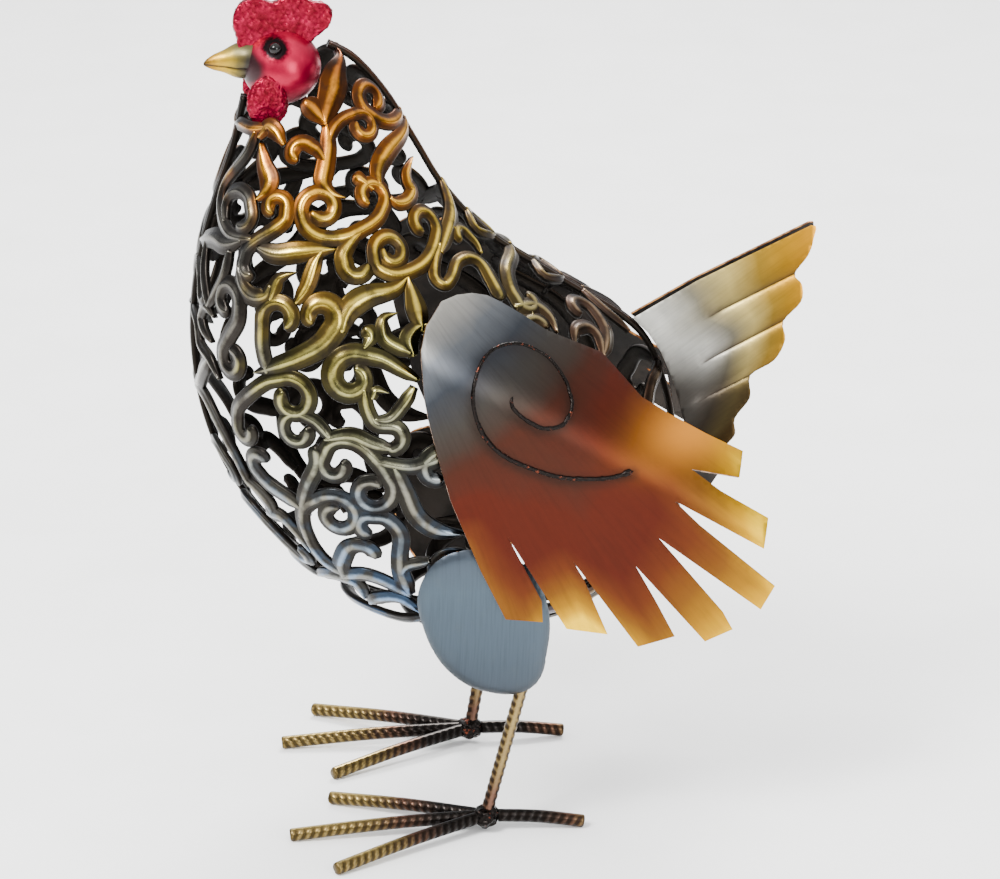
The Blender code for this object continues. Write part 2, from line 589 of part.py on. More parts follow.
def comb(where, head_space, beak_space):
    """The lobed comb, an upright plate that follows the head and the root of the beak."""
    outline = [(-118.6, 352), (-118.6, 357.5), (-120.2, 363.5), (-119.2, 370.0), (-115, 374.6), (-108, 375.4),
               (-102.5, 373.6), (-97, 376.0), (-90, 375.6), (-85.5, 373.6), (-80, 372.6), (-76.2, 368.2),
               (-78.0, 361.8), (-83.5, 357.2), (-88, 352)]
    count = len(outline)
    verts = []
    for side in (1, -1):
        for y, z in outline:
            high = (z - 352) / 24
            across = COMB_THICKNESS / 2 * (1.15 - 0.5 * high)
            verts.append((side * across, y * STEP, z * STEP))
    faces = [tuple(range(count)), tuple(reversed(range(count, 2 * count)))]
    faces += [(i, i + count, (i + 1) % count + count, (i + 1) % count) for i in range(count)]
    made = combine(make("comb", verts, faces, where), head_space, "DIFFERENCE")
    return cleaned(combine(made, beak_space, "DIFFERENCE"))


def beak_form(name, where, grow=0.0):
    """The form of the beak, round at its root and bent down a little to the tip."""
    rows = [(-109, 347.6, 7.4, 8.6), (-114, 347.6, 6.9, 8.3), (-119, 347.4, 5.3, 7.4), (-124, 347.3, 3.6, 5.0),
            (-128.5, 347.0, 2.2, 3.4), (-132.0, 346.6, 0.9, 1.4), (-133, 346.4, 0.3, 0.4)]
    around = 10
    verts, faces = [], []
    for y, z, wide, high in rows:
        for i in range(around):
            turn = 2 * math.pi * i / around
            across = (wide * STEP + grow) * math.sin(turn)
            verts.append((across, y * STEP, z * STEP + (high * STEP + grow) * math.cos(turn)))
    for n in range(len(rows) - 1):
        for i in range(around):
            k = (i + 1) % around
            a, b = n * around, (n + 1) * around
            faces.append((a + i, a + k, b + k, b + i))
    faces += [tuple(range(around)), tuple(range((len(rows) - 1) * around, len(rows) * around))]
    return make(name, verts, faces, where)


def beak(where, head_space):
    """The beak, fitted to the face."""
    return cleaned(combine(beak_form("beak", where), head_space, "DIFFERENCE"))


def wattle(where, head_space):
    """One wattle hanging at the side of the throat."""
    thick = WATTLE_THICKNESS / STEP / 2
    made = ball("wattle_left", (15.2, -106.6, 333.4), (thick, 8.6, 10.8), 10, 7, where)
    return cleaned(combine(made, head_space, "DIFFERENCE"))


def wing_outline():
    """Corners of the wing sheet, length against height, in steps."""
    polar = []
    for row in FEATHERS:
        polar += list(row)
    polar += SHOULDER
    corners = []
    for angle, distance in polar:
        turn = math.radians(angle)
        corners.append((HUB[0] + distance * math.sin(turn), HUB[1] - distance * math.cos(turn)))
    return corners


def wing_across(y, z):
    """Middle of the wing sheet: flared over the thigh, bent in over the back, in steps."""
    above = (y + 60.0) * 0.519 + (z - 235.0) * 0.855
    out = 86.7 + (RELIEF + FIT + SHEET * 1.5) / STEP
    return out - 0.0835 * y - 0.059 * z - 0.0178 * max(above, 0.0) ** 2


def sheet(name, corners, cuts, across, where):
    """A bent sheet: the flat outline cut into fields, bent and given its thickness."""
    work = bmesh.new()
    work.faces.new([work.verts.new((0, y, z)) for y, z in corners])
    for point, normal in cuts:
        geometry = work.verts[:] + work.edges[:] + work.faces[:]
        bmesh.ops.bisect_plane(work, geom=geometry, dist=0.05, plane_co=point, plane_no=normal)
    bmesh.ops.triangulate(work, faces=work.faces[:])
    flat = [(v.co.y, v.co.z) for v in work.verts]
    index = {v: i for i, v in enumerate(work.verts)}
    tris = [[index[v] for v in f.verts] for f in work.faces]
    edges = [[index[v] for v in e.verts] for e in work.edges if len(e.link_faces) == 1]
    work.free()
    half = SHEET / 2
    verts = []
    for sign in (1, -1):
        for y, z in flat:
            slope_y = (across(y + 0.5, z) - across(y - 0.5, z))
            slope_z = (across(y, z + 0.5) - across(y, z - 0.5))
            out = Vector((1, -slope_y, -slope_z)).normalized()
            verts.append(Vector((across(y, z), y, z)) * STEP + out * half * sign)
    count = len(flat)
    faces = [tuple(t) for t in tris] + [tuple(i + count for i in reversed(t)) for t in tris]
    faces += [(a, b, b + count, a + count) for a, b in edges]
    return make(name, verts, faces, where)


def spiral_bead(cutters):
    """The bead run on the wing, a ridge that sinks into the sheet."""
    rows = [np.array(p, float) for p in SPIRAL]
    points = []
    steps = 3 * (len(rows) - 1)
    for i in range(steps + 1):
        angle, distance = catmull(rows, i / 3)
        turn = math.radians(angle)
        points.append((HUB[0] + distance * math.sin(turn), HUB[1] - distance * math.cos(turn)))
    verts, faces = [], []
    for i, (y, z) in enumerate(points):
        ahead = Vector((0, *points[min(i + 1, steps)])) - Vector((0, *points[max(i - 1, 0)]))
        side = Vector((1, 0, 0)).cross(ahead.normalized()) * 1.5 * STEP
        if i == steps:
            side = side * 1.6
        middle = Vector((wing_across(y, z), y, z)) * STEP
        low = middle + Vector((SHEET * 0.2, 0, 0))
        verts += [low - side, low + side, middle + Vector((SHEET / 2 + BEAD, 0, 0))]
    for i in range(steps):
        a, b = 3 * i, 3 * i + 3
        faces += [(a, a + 1, b + 1, b), (a + 1, a + 2, b + 2, b + 1), (a + 2, a, b, b + 2)]
    last = 3 * steps
    faces += [(2, 1, 0), (last, last + 1, last + 2)]
    return make("bead", verts, faces, cutters)


def wing(where, cutters):
    """The wing sheet with cut feathers and its bead."""
    cuts = [((0, y, 0), (0, 1, 0)) for y in range(-30, 100, 30)]
    cuts += [((0, 0, z), (0, 0, 1)) for z in range(130, 255, 30)]
    made = sheet("wing_left", wing_outline(), cuts, wing_across, where)
    return cleaned(combine(made, spiral_bead(cutters), "UNION"))


def tail_across(y, z):
    """Middle of the tail sheet: a slant from the ridge, lower toward each groove."""
    below = (y - 57.0) * 0.434 - (z - 231.5) * 0.901
    fade = min(max((y - 80.0) / 30.0, 0.0), 1.0)
    dent = 0.0
    for (y0, z0), (y1, z1) in GROOVES:
        length = math.hypot(y1 - y0, z1 - z0)
        off = abs((y - y0) * (z1 - z0) - (z - z0) * (y1 - y0)) / length
        dent = max(dent, 1.0 - off / 4.0)
    return 1.3 + 0.33 * below - 1.1 * dent * fade


def back_at(height):
    """How far back the body reaches at a height, in steps."""
    low, high = 0.5, 13.5
    while high - low > 1e-4:
        middle = (low + high) / 2
        if ring(middle)[0] < height:
            low = middle
        else:
            high = middle
    return float(ring(low)[2])


def tail(where):
    """One of the two tail sheets."""
    clear = (RELIEF + FIT) / STEP + 1.0
    root = [(back_at(z) + clear, z) for z in TAIL_ROOT]
    cuts = []
    for (y0, z0), (y1, z1) in GROOVES:
        way = Vector((0, z0 - z1, y1 - y0)).normalized()
        for shift in (-4.0, 0.0, 4.0):
            cuts.append(((0, y0 + way.y * shift, z0 + way.z * shift), tuple(way)))
    cuts += [((0, 80, 0), (0, 1, 0)), ((0, 110, 0), (0, 1, 0))]
    return cleaned(sheet("tail_left", TAIL + root, cuts, tail_across, where))


def thigh_reach(turn):
    """Distance from the thigh's middle to its edge in a direction."""
    rows = [np.array([v], float) for v in THIGH]
    place = (turn / (2 * math.pi)) * len(THIGH) % len(THIGH)
    wrapped = rows[-2:] + rows + rows[:2]
    return float(catmull(wrapped, place + 2)[0])


def thigh(where):
    """The thigh, a domed sheet open toward the body."""
    around, rings = 18, (1.0, 0.8, 0.45)
    edge = 76.1 + (RELIEF + FIT + SHEET) / STEP
    verts, faces = [], []
    for inner in (0, 1):
        for share in rings:
            for i in range(around):
                turn = 2 * math.pi * i / around
                reach = thigh_reach(turn) * share - inner * (SHEET / STEP) * share
                y = THIGH_MIDDLE[0] + reach * math.sin(turn)
                z = THIGH_MIDDLE[1] + reach * math.cos(turn)
                dome = 6.5 * math.sqrt(max(1 - share ** 2.4, 0.0))
                across = edge - 0.25 * (146 - z) + dome - inner * SHEET / STEP
                verts.append(Vector((across, y, z)) * STEP)
        across = edge - 0.25 * (146 - THIGH_MIDDLE[1]) + 6.5 - inner * SHEET / STEP
        verts.append(Vector((across, *THIGH_MIDDLE)) * STEP)
    size = around * len(rings) + 1
    for inner in (0, 1):
        start = inner * size
        for n in range(len(rings) - 1):
            for i in range(around):
                k = (i + 1) % around
                a, b = start + n * around, start + (n + 1) * around
                faces.append((a + i, a + k, b + k, b + i))
        last = start + (len(rings) - 1) * around
        faces += [(last + i, last + (i + 1) % around, start + size - 1) for i in range(around)]
    faces += [(i, (i + 1) % around, size + (i + 1) % around, size + i) for i in range(around)]
    return cleaned(make("thigh_left", verts, faces, where))


ANKLE = Vector((53.0, -16.0, ROD / STEP / 2 + 4))
ANKLE_WELD = ROD / STEP + 0.6
KNEE = Vector((58.6 + (RELIEF - ROD / 2) / STEP, 2.2, 80.0))
RIGHT_FOOT = Vector((7.0, 3.5, 0.0))
TOE_TIPS = {"toe_middle": (55.1, -104.5), "toe_outer": (93.0, -87.0), "toe_inner": (16.6, -83.5),
            "toe_back": (55.0, 28.5)}


def rod(name, points, where, grow=0.0):
    """A round rod through points given in steps."""
    around = 8
    half = ROD / 2 + grow
    verts, faces = [], []
    for i, point in enumerate(points):
        ahead = (points[min(i + 1, len(points) - 1)] - points[max(i - 1, 0)]).normalized()
        flat = abs(ahead.z) < 0.7
        up = Vector((0, 0, 1)) if flat else Vector((1, 0, 0))
        side = ahead.cross(up).normalized()
        high = side.cross(ahead).normalized()
        for k in range(around):
            turn = 2 * math.pi * k / around
            verts.append(point * STEP + side * half * math.sin(turn) + high * half * math.cos(turn))
    for n in range(len(points) - 1):
        for i in range(around):
            k = (i + 1) % around
            a, b = n * around, (n + 1) * around
            faces.append((a + i, a + k, b + k, b + i))
    faces += [tuple(range(around)), tuple(range((len(points) - 1) * around, len(points) * around))]
    return make(name, verts, faces, where)


def foot(where, cutters):
    """Leg rod, four toe rods and the weld that joins them, on the left."""
    made = [ball("weld_left", ANKLE, (ANKLE_WELD, ANKLE_WELD, ANKLE_WELD * 0.9), 10, 6, where)]
    clear = ANKLE_WELD + FIT / STEP
    upward = (KNEE - ANKLE).normalized()
    made.append(rod("leg_left", [ANKLE + upward * clear, KNEE], where))
    ground = ROD / STEP / 2
    for name, (x, y) in TOE_TIPS.items():
        tip = Vector((x, y, ground))
        flat = Vector((tip.x - ANKLE.x, tip.y - ANKLE.y, 0))
        points = []
        for share in (0.0, 0.3, 0.62, 1.0):
            base = ANKLE + flat.normalized() * clear
            place = base + (tip - base) * share
            rise = (ANKLE.z - ground) * (1 - share) ** 1.5 + 1.4 * math.sin(math.pi * share)
            place.z = ground + rise
            points.append(place)
        if name == "toe_middle":
            start = points[0] - flat.normalized() * 2
            middle = rod("toe_space", [start] + points[1:], cutters, FIT * 1.6)
        made.append(rod(name + "_left", points, where))
    for piece in made:
        if piece.name in ("toe_outer_left", "toe_inner_left"):
            cleaned(combine(piece, middle, "DIFFERENCE"))
    return made


def stepped(piece):
    """The right foot stands a little in and back from where a mirror would put it."""
    for vert in piece.data.vertices:
        share = (KNEE.z * STEP - vert.co.z) / ((KNEE.z - ANKLE.z) * STEP)
        vert.co += RIGHT_FOOT * STEP * min(max(share, 0.0), 1.0)


def build():
    """Everything, in its place."""
    for old in list(bpy.data.objects):
        bpy.data.objects.remove(old, do_unlink=True)
    scene = bpy.context.scene
    figure = bpy.data.collections.new("metal_hen_figure")
    cutters = bpy.data.collections.new("guides")
    scene.collection.children.link(figure)
    scene.collection.children.link(cutters)
    paints = {
        "openwork_metal": metal("openwork_metal", "8C7448", 0.38, 1.0),
        "wing_sheet": metal("wing_sheet", "8E4A2C", 0.35, 1.0),
        "tail_sheet": metal("tail_sheet", "BFB49A", 0.35, 1.0),
        "thigh_sheet": metal("thigh_sheet", "7C8793", 0.4, 1.0),
        "rod_metal": metal("rod_metal", "8A7445", 0.45, 1.0),
        "weld_metal": metal("weld_metal", "2A2724", 0.55, 1.0),
        "face_paint": metal("face_paint", "C02445", 0.25, 0.0),
        "comb_paint": metal("comb_paint", "A81E38", 0.3, 0.0),
        "beak_paint": metal("beak_paint", "C9B257", 0.35, 0.0),
    }
    space = ball("head_space", *HEAD, 16, 10, cutters, FIT)
    face = head(figure, cutters)
    wattle_left = wattle(figure, space)
    half = body_half(cutters, space)
    cutters.objects.unlink(half)
    figure.objects.link(half)
    paired = [(half, "openwork_metal"), (wing(figure, cutters), "wing_sheet"), (tail(figure), "tail_sheet"),
              (thigh(figure), "thigh_sheet"), (wattle_left, "comb_paint")]
    for piece in foot(figure, cutters):
        paired.append((piece, "weld_metal" if piece.name.startswith("weld") else "rod_metal"))
    beak_space = beak_form("beak_space", cutters, FIT)
    single = [(face, "face_paint"), (comb(figure, space, beak_space), "comb_paint"),
              (beak(figure, space), "beak_paint")]
    for piece, paint in list(paired):
        other = mirrored(piece, piece.name.replace("_left", "_right"), figure)
        if other.name.startswith(("leg", "toe", "weld")):
            stepped(other)
        paired.append((other, paint))
    for piece, paint in paired + single:
        piece.data.materials.clear()
        piece.data.materials.append(paints[paint])
    for guide in cutters.all_objects:
        guide.hide_render = True
        guide.display_type = "WIRE"


build()
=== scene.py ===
"""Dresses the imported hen: openwork scrolls, painted face, lacquered sheets and ribbed rods."""
import math

import bmesh
import bpy
import numpy as np
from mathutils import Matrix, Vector, kdtree, noise


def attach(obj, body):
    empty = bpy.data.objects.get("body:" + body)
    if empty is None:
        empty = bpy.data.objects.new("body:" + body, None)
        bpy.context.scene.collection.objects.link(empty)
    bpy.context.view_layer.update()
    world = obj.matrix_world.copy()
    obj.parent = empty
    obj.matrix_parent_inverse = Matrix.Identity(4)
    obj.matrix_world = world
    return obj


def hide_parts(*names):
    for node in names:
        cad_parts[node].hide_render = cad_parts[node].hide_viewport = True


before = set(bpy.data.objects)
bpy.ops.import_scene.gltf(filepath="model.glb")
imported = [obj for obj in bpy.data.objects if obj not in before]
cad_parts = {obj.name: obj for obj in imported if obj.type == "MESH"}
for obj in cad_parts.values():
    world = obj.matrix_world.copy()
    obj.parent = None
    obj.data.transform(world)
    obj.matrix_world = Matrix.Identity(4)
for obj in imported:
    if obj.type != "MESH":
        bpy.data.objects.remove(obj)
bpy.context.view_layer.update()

# Sizes in metres; the layout below is in steps of a millimetre, as in the hen's solids
STEP = 0.001
SHEET = 0.0012
RELIEF = 0.0022
ROD = 0.006
FIT = 0.0003

# Rings of the body from the lowest point to the head: height, front, back, half width, in steps
RINGS = np.array([
    (88, -12, -12, 0), (91, -40, 18, 32), (99, -66, 43, 51), (114, -89, 60, 63),
    (136, -110, 71.5, 71), (163, -127, 75, 76), (191, -136.5, 71, 78), (219, -140, 58, 76),
    (243, -139, 24, 70), (265, -135, -8, 62), (287, -128.5, -28, 52), (309, -121, -41, 41),
    (330, -116, -53, 29), (347, -112, -67, 20), (355, -108, -80, 14)], float)
FULLNESS = 0.22           # how far the widest place of a ring lies toward the front

# Scroll strokes of one half. Places are (degrees round the ring from the front seam to the back
# seam, ring number). A curl is (degrees turned, first radius, last radius), left turns positive,
# as seen from outside, walked outward from that end. Widths are start, middle and end, in steps.
STROKES = [
    # head end and back of the neck
    (((91, 11.8), (96, 12.1), (108, 12.5), (122, 12.9), (146, 13.3), (160, 13.6)), (5, 11, 5), None, None),
    (((92, 11.8), (86, 12.1), (79, 12.35)), (4, 8, 8), None, None),
    (((92, 11.8), (91, 11.45), (87, 11.1), (84, 10.8), (88, 10.58), (95, 10.48)), (5, 7, 5), None, None),
    (((88, 11.05), (84, 11.32), (78, 11.46)), (4, 6, 5), None, (200, 4.8, 3.4)),
    (((91, 11.45), (97, 11.72), (107, 11.88), (119, 11.93)), (5, 5, 5), None, (-330, 6.0, 3.4)),
    (((178.2, 11.62), (152, 11.58), (138, 11.68), (130, 11.88)), (6, 6, 5), None, (-330, 7.5, 4.0)),
    (((178.2, 11.45), (150, 11.28), (135, 11.17), (124, 11.0), (118, 10.8), (116, 10.52)), (5, 8, 5),
     None, None),
    (((120, 10.32), (124, 10.2), (131, 10.2), (137, 10.33), (137, 10.5), (140, 10.68), (152, 10.87)),
     (5, 6, 3), None, None),
    (((112, 10.54), (107, 10.72), (102, 10.85)), (4, 5, 8), None, None),
    (((46, 11.72), (30, 11.62), (14, 11.58), (1.2, 11.5)), (5, 5, 5), None, None),
    (((60, 11.45), (53, 11.68), (46, 11.72), (39, 11.5)), (4, 7, 5), None, None),
    # throat
    (((35, 11.6), (28, 11.15), (18, 10.75), (11, 10.4), (12, 10.05), (20, 9.78), (30, 9.62), (44, 9.68)),
     (5, 6, 5), None, None),
    (((23, 9.8), (19, 10.04), (21, 10.3), (29, 10.45), (37, 10.4), (41, 10.18)), (5, 6, 5), None,
     (-180, 5.5, 3.6)),
    (((41, 11.4), (45, 11.05), (50, 10.8), (49, 10.58), (44, 10.4)), (4, 8, 4), None, None),
    (((63, 10.33), (62, 10.12), (56, 9.93), (48, 9.72), (42, 9.5), (40, 9.25)), (5, 6, 6),
     (260, 4.8, 3.3), (140, 4.6, 3.6)),
    (((1.2, 9.1), (16, 9.38), (27, 9.42), (38, 9.6)), (6, 8, 5), None, None),
    # the long double scroll across the neck and its hook
    (((71, 10.2), (73, 10.0), (79, 9.83), (89, 9.79), (99, 9.88), (109, 10.02), (115, 10.2)), (5, 6, 5),
     (-380, 8.5, 3.4), (300, 7.2, 3.4)),
    (((99, 9.86), (93, 9.71), (88, 9.5), (87, 9.3)), (4, 7, 5), None, (190, 5.4, 4.2)),
    # leaves and hooks of the breast
    (((85, 9.6), (77, 9.6), (67, 9.56), (57, 9.5), (48, 9.56)), (3, 8, 6), None, None),
    (((79, 9.6), (75, 9.38), (72, 9.15), (69, 8.93), (63, 8.62)), (4, 6, 5), None, None),
    (((38, 9.15), (40, 8.8), (45, 8.63), (51, 8.7), (54, 8.92)), (5, 7, 5), None, None),
    (((53, 8.62), (57, 9.0), (61, 9.13), (66, 9.2)), (5, 6, 3), None, None),
    (((46, 7.25), (46, 7.7), (47, 8.0), (48, 8.25)), (6, 6, 6), None, (-245, 8.3, 4.6)),
    (((41, 7.2), (51, 7.43), (59, 7.63), (67, 7.87), (73, 8.15)), (6, 9, 6), None, (265, 7.8, 4.2)),
    (((38, 8.4), (37, 8.1), (33, 7.8), (29, 7.5)), (6, 7, 6), (300, 8, 4.4), (330, 7, 3.8)),
    (((9, 9.2), (11, 8.8), (14, 8.5), (20, 8.1)), (4, 5, 5), None, None),
    (((20, 8.1), (25, 8.5), (29, 8.87), (31, 9.35)), (5, 5, 5), None, None),
    (((22, 7.45), (16, 7.6), (14, 7.8), (18, 8.05), (24, 7.95)), (6, 6, 4), None, None),
    (((1.2, 7.75), (10, 7.6), (13, 7.25), (20, 7.1), (25, 6.85)), (4, 5, 5), None, None),
    (((20, 7.1), (14, 6.8), (8, 6.5), (1.2, 6.4)), (6, 7, 5), None, None),
    (((1.2, 8.75), (9, 8.5), (12, 8.2)), (4, 5, 4), None, (150, 4.2, 3.4)),
    # shoulder scrolls
    (((101, 9.42), (100, 9.2), (104, 9.04), (110, 9.02), (119, 9.1), (128, 9.28), (136, 9.5)), (5, 6, 5),
     (-400, 7.8, 3.4), (300, 7.6, 3.6)),
    (((109, 8.95), (101, 8.78), (91, 8.73), (84, 8.6), (79, 8.4), (75, 8.1)), (3, 9, 6), None, None),
    (((109, 8.95), (105, 8.57), (102, 8.3), (99, 8.0)), (3, 8, 6), None, None),
    (((96, 8.37), (91, 8.32), (88, 8.13), (87, 7.9), (91, 7.65)), (4, 6, 6), None, None),
    (((102, 8.1), (97, 8.04), (93, 7.87), (91, 7.6)), (3, 7, 7), None, None),
    (((83, 8.2), (83, 8.0), (79, 7.8)), (7, 6, 4), None, None),
    (((133, 9.33), (125, 9.1), (119, 8.83), (120, 8.68), (126, 8.78), (134, 8.96), (142, 8.96),
      (144, 8.8), (139, 8.52), (133, 8.2)), (5, 5, 7), None, None),
    (((178.2, 10.15), (160, 9.75), (142, 9.45), (130, 9.2)), (5, 7, 5), None, None),
    (((150, 8.93), (154, 9.1), (155, 9.3)), (5, 5, 5), None, (200, 4.2, 3.4)),
    (((178.2, 8.7), (155, 8.6), (143, 8.35), (138, 8.1)), (6, 7, 5), None, (250, 4.8, 3.6)),
    (((178.2, 9.5), (167, 9.25), (178.2, 8.95)), (5, 5, 5), None, None),
    (((134, 8.05), (142, 7.98), (142, 7.78), (136, 7.5)), (6, 6, 5), None, None),
    (((178.2, 8.4), (168, 8.22), (178.2, 8.0)), (5, 5, 5), None, None),
    (((142, 7.0), (155, 7.3), (163, 7.55)), (6, 6, 5), None, (235, 7.2, 4.0)),
    (((142, 7.0), (149, 7.3), (149, 7.45), (143, 7.45), (136, 7.25)), (4, 6, 6), None, None),
    (((178.2, 7.75), (170, 7.45), (166, 7.1)), (5, 5, 5), None, None),
    # flank scrolls
    (((30, 6.2), (32, 6.5), (38, 6.8), (45, 7.08), (51, 7.2)), (6, 6, 6), (230, 5, 3.6), (-345, 9.5, 4.4)),
    (((61, 6.25), (58, 6.5), (55, 6.6)), (5, 5, 5), None, (330, 7.8, 4.2)),
    (((88, 7.2), (85, 7.4), (82, 7.6), (77, 7.7)), (4, 8, 5), None, (375, 10.3, 3.6)),
    (((73, 7.1), (72, 6.8), (73, 6.53), (77, 6.48)), (5, 6, 5), None, (-190, 5.2, 5.2)),
    (((76, 6.12), (71, 6.2), (66, 6.33), (59, 6.26)), (5, 7, 5), None, None),
    (((74, 6.93), (76, 7.07), (79, 7.02)), (5, 6, 3), None, None),
    (((73, 6.6), (77, 6.6), (81, 6.8), (86, 7.1)), (4, 5, 5), None, None),
    (((57, 5.93), (60, 6.17), (64, 6.25), (68, 6.17), (71, 5.93), (73, 5.6)), (6, 6, 6),
     (250, 5.8, 3.8), (-370, 9.3, 3.8)),
    (((56, 6.15), (55, 5.82), (51, 5.5), (47, 5.15), (43, 4.75), (41, 4.45), (40, 4.15), (41, 3.88),
      (46, 3.7)), (7, 6, 7), None, None),
    (((45, 5.0), (41, 5.13), (36, 5.27), (33, 5.45)), (6, 7, 5), None, (-200, 6, 4.4)),
    (((25, 5.25), (31, 4.95), (31, 4.65)), (4, 8, 5), None, None),
    (((43, 4.8), (47, 5.05), (53, 5.24)), (6, 6, 6), None, (-430, 10.3, 3.6)),
    (((65, 4.97), (69, 4.93), (71, 4.65), (68, 4.22), (66, 3.87), (65, 3.4)), (7, 6, 7), (200, 5, 4), None),
    (((44, 3.6), (47, 3.93), (52, 4.25)), (7, 7, 4), None, (-160, 8.2, 5.2)),
    (((43, 3.62), (52, 3.76), (57, 3.72), (61, 3.57), (65, 3.35)), (7, 6, 5), None, None),
    (((28, 3.4), (39, 3.58), (47, 3.5), (45, 3.1)), (5, 7, 5), None, None),
    (((45, 2.95), (52, 3.17), (60, 3.22), (64, 2.85)), (7, 6, 4), None, None),
    (((27, 4.65), (34, 4.68), (37, 4.45), (38, 4.1)), (8, 6, 5), None, None),
    (((70, 5.95), (75, 5.86), (79, 5.82), (83, 5.87), (89, 5.98)), (5, 6, 7), None, None),
    (((75, 5.85), (76, 5.4), (77, 4.97), (81, 4.7), (88, 4.62)), (6, 7, 6), None, None),
    (((65, 3.8), (69, 4.05), (76, 4.15)), (5, 5, 5), None, None),
    # lower breast beside the front seam
    (((1.2, 6.35), (12, 6.35), (18, 6.1), (24, 5.6), (26, 5.1)), (5, 6, 5), None, None),
    (((1.2, 5.4), (10, 5.5), (16, 5.3)), (5, 5, 5), None, (-240, 5.5, 3.6)),
    (((1.2, 4.4), (12, 4.6), (20, 4.3), (26, 3.8)), (5, 6, 5), None, (220, 5.0, 3.6)),
    (((1.2, 3.4), (14, 3.5), (28, 3.38)), (5, 6, 5), None, None),
    # behind the wing and thigh, plainer
    (((100, 7.55), (108, 7.1), (112, 6.5)), (5, 7, 5), (-250, 8, 4.4), (-250, 8, 4.4)),
    (((126, 7.4), (134, 6.8), (137, 6.2)), (5, 7, 5), (-250, 8, 4.4), (-250, 8, 4.4)),
    (((89, 6.0), (96, 5.7), (103, 5.2)), (5, 7, 5), (250, 8, 4.4), (-250, 8, 4.4)),
    (((112, 5.6), (122, 5.2), (130, 4.7)), (5, 7, 5), (250, 8, 4.4), (-250, 8, 4.4)),
    (((84, 4.2), (92, 3.9), (101, 3.4)), (5, 7, 5), (250, 7, 4.4), (-250, 7, 4.4)),
    (((112, 4.1), (122, 3.7), (132, 3.2)), (5, 7, 5), (250, 7, 4.4), (-250, 7, 4.4)),
    # below the tail
    (((178.2, 6.4), (160, 6.3), (150, 5.9)), (5, 7, 5), None, (250, 8, 4.4)),
    (((178.2, 5.3), (163, 5.0), (152, 4.5)), (5, 7, 5), None, (-260, 8, 4.4)),
    (((178.2, 4.1), (163, 3.9), (150, 3.5)), (5, 7, 5), None, (250, 7.5, 4.4)),
    # underside
    (((1.2, 2.3), (28, 2.5), (50, 2.35), (66, 2.7)), (5, 6, 5), None, None),
    (((178.2, 2.7), (150, 2.5), (125, 2.3), (100, 2.5), (78, 2.6)), (5, 6, 5), None, None),
    (((1.2, 1.25), (45, 1.3), (90, 1.3), (135, 1.3), (178, 1.25)), (5, 5, 5), None, None),
    (((60, 1.35), (72, 1.9), (84, 2.3)), (5, 6, 5), None, (-200, 6, 4.4)),
    (((125, 1.35), (132, 1.8), (140, 2.3)), (5, 6, 5), None, None),
]

# Wing outline from its hub: angle in degrees from straight down toward the tail, and distance
HUB = (-3.2, 213.1)
FEATHERS = [
    ((355.6, 98), (365.1, 100.7), (365.4, 91), (354, 60.5)),
    ((370.6, 106), (379.3, 114.6), (378.4, 86.4), (377.0, 76.6)),
    ((384.1, 126), (391.4, 130.6), (392.2, 111.7), (393, 92.7)),
    ((395.4, 141), (400.5, 145), (401.4, 135.5), (402.8, 89.4)),
    ((406.3, 147.7), (411.0, 145.6), (412.3, 100.5), (414.0, 84)),
    ((415.5, 131), (420.8, 126.5), (421.7, 101.3), (423.7, 84.7)),
    ((425.7, 107.8), (430.5, 107.3), (432.6, 88.8), (436.5, 70)),
]
SHOULDER = [(441.8, 56.2), (452, 47), (464.7, 40.4), (484, 30.7), (508, 26.9), (533.8, 30.6),
            (548.5, 36.5), (556.8, 41.6), (564.2, 46), (571.2, 50), (578.2, 53.4), (589.7, 53.3),
            (599.7, 50.3), (613.6, 44.7), (625, 42.3), (637.6, 40.9), (650.7, 41.1), (663, 43.3),
            (683.3, 52.4), (696.9, 63.4), (706.2, 77)]
SPIRAL = [(-125, 4.2), (-32, 4.5), (14, 7.9), (41, 16.3), (58, 21.7), (77, 23.5), (93, 22.2), (120, 20.2),
          (154, 19.8), (181, 21.7), (214, 24.4), (247, 22.3), (283, 20.5), (322, 22.2), (363.5, 28.6),
          (391.4, 41.5), (409, 54.9), (415.5, 60.3)]

# Tail sheet outline, length and height, the heights of its root and the grooves between feathers
TAIL = [(84.3, 240.2), (110.7, 252.8), (135.8, 264.6), (136.6, 258.5), (134.0, 251.5), (128.0, 243.5),
        (131.0, 239.2), (130.4, 231.8), (122.4, 223.2), (122.9, 215.5), (117.8, 206.5), (107.2, 199.9),
        (106.6, 190.6), (99.7, 181.7), (99.6, 175.0), (95.8, 170.5)]
TAIL_ROOT = [170, 180, 190, 200, 210, 218, 224.2]
GROOVE_DEPTH = 1.4        # how far the sheet is pressed in at a groove, in steps
GROOVES = [((88.3, 224.2), (128.0, 243.5)), ((84.9, 204.3), (122.1, 223.1)),
           ((81.1, 187.2), (107.2, 199.8))]

LINK = 4.0                # width of a short weld between two strokes, in steps
BOLD = 1.3                # how much wider the strokes are than drawn
TOUCH = 0.27              # share of two strokes' widths within which they count as touching
CHORD = 1.5               # gap between the points at which strokes are compared, in steps
CURL_STEP = 12            # degrees that a curl turns from one place to the next
ANGLES = (1.5, 178.5)     # degrees between which a curl stays, clear of the two seams
LOW, THROAT, NAPE = 0.4, 12.1, 13.9    # rings where curls stop below and where the seam ends
SEAM_STRIP = 3.2          # width of the strip that edges each half at the seam, in steps
EDGE = 2.5                # degrees from the seam to the middle of that strip


def tree_of(points):
    """The points in a tree that finds the nearest one."""
    tree = kdtree.KDTree(len(points))
    for i, point in enumerate(points):
        tree.insert(point, i)
    tree.balance()
    return tree


def smoothstep(value):
    """Eases a share from 0 to 1."""
    value = min(max(value, 0.0), 1.0)
    return value * value * (3 - 2 * value)


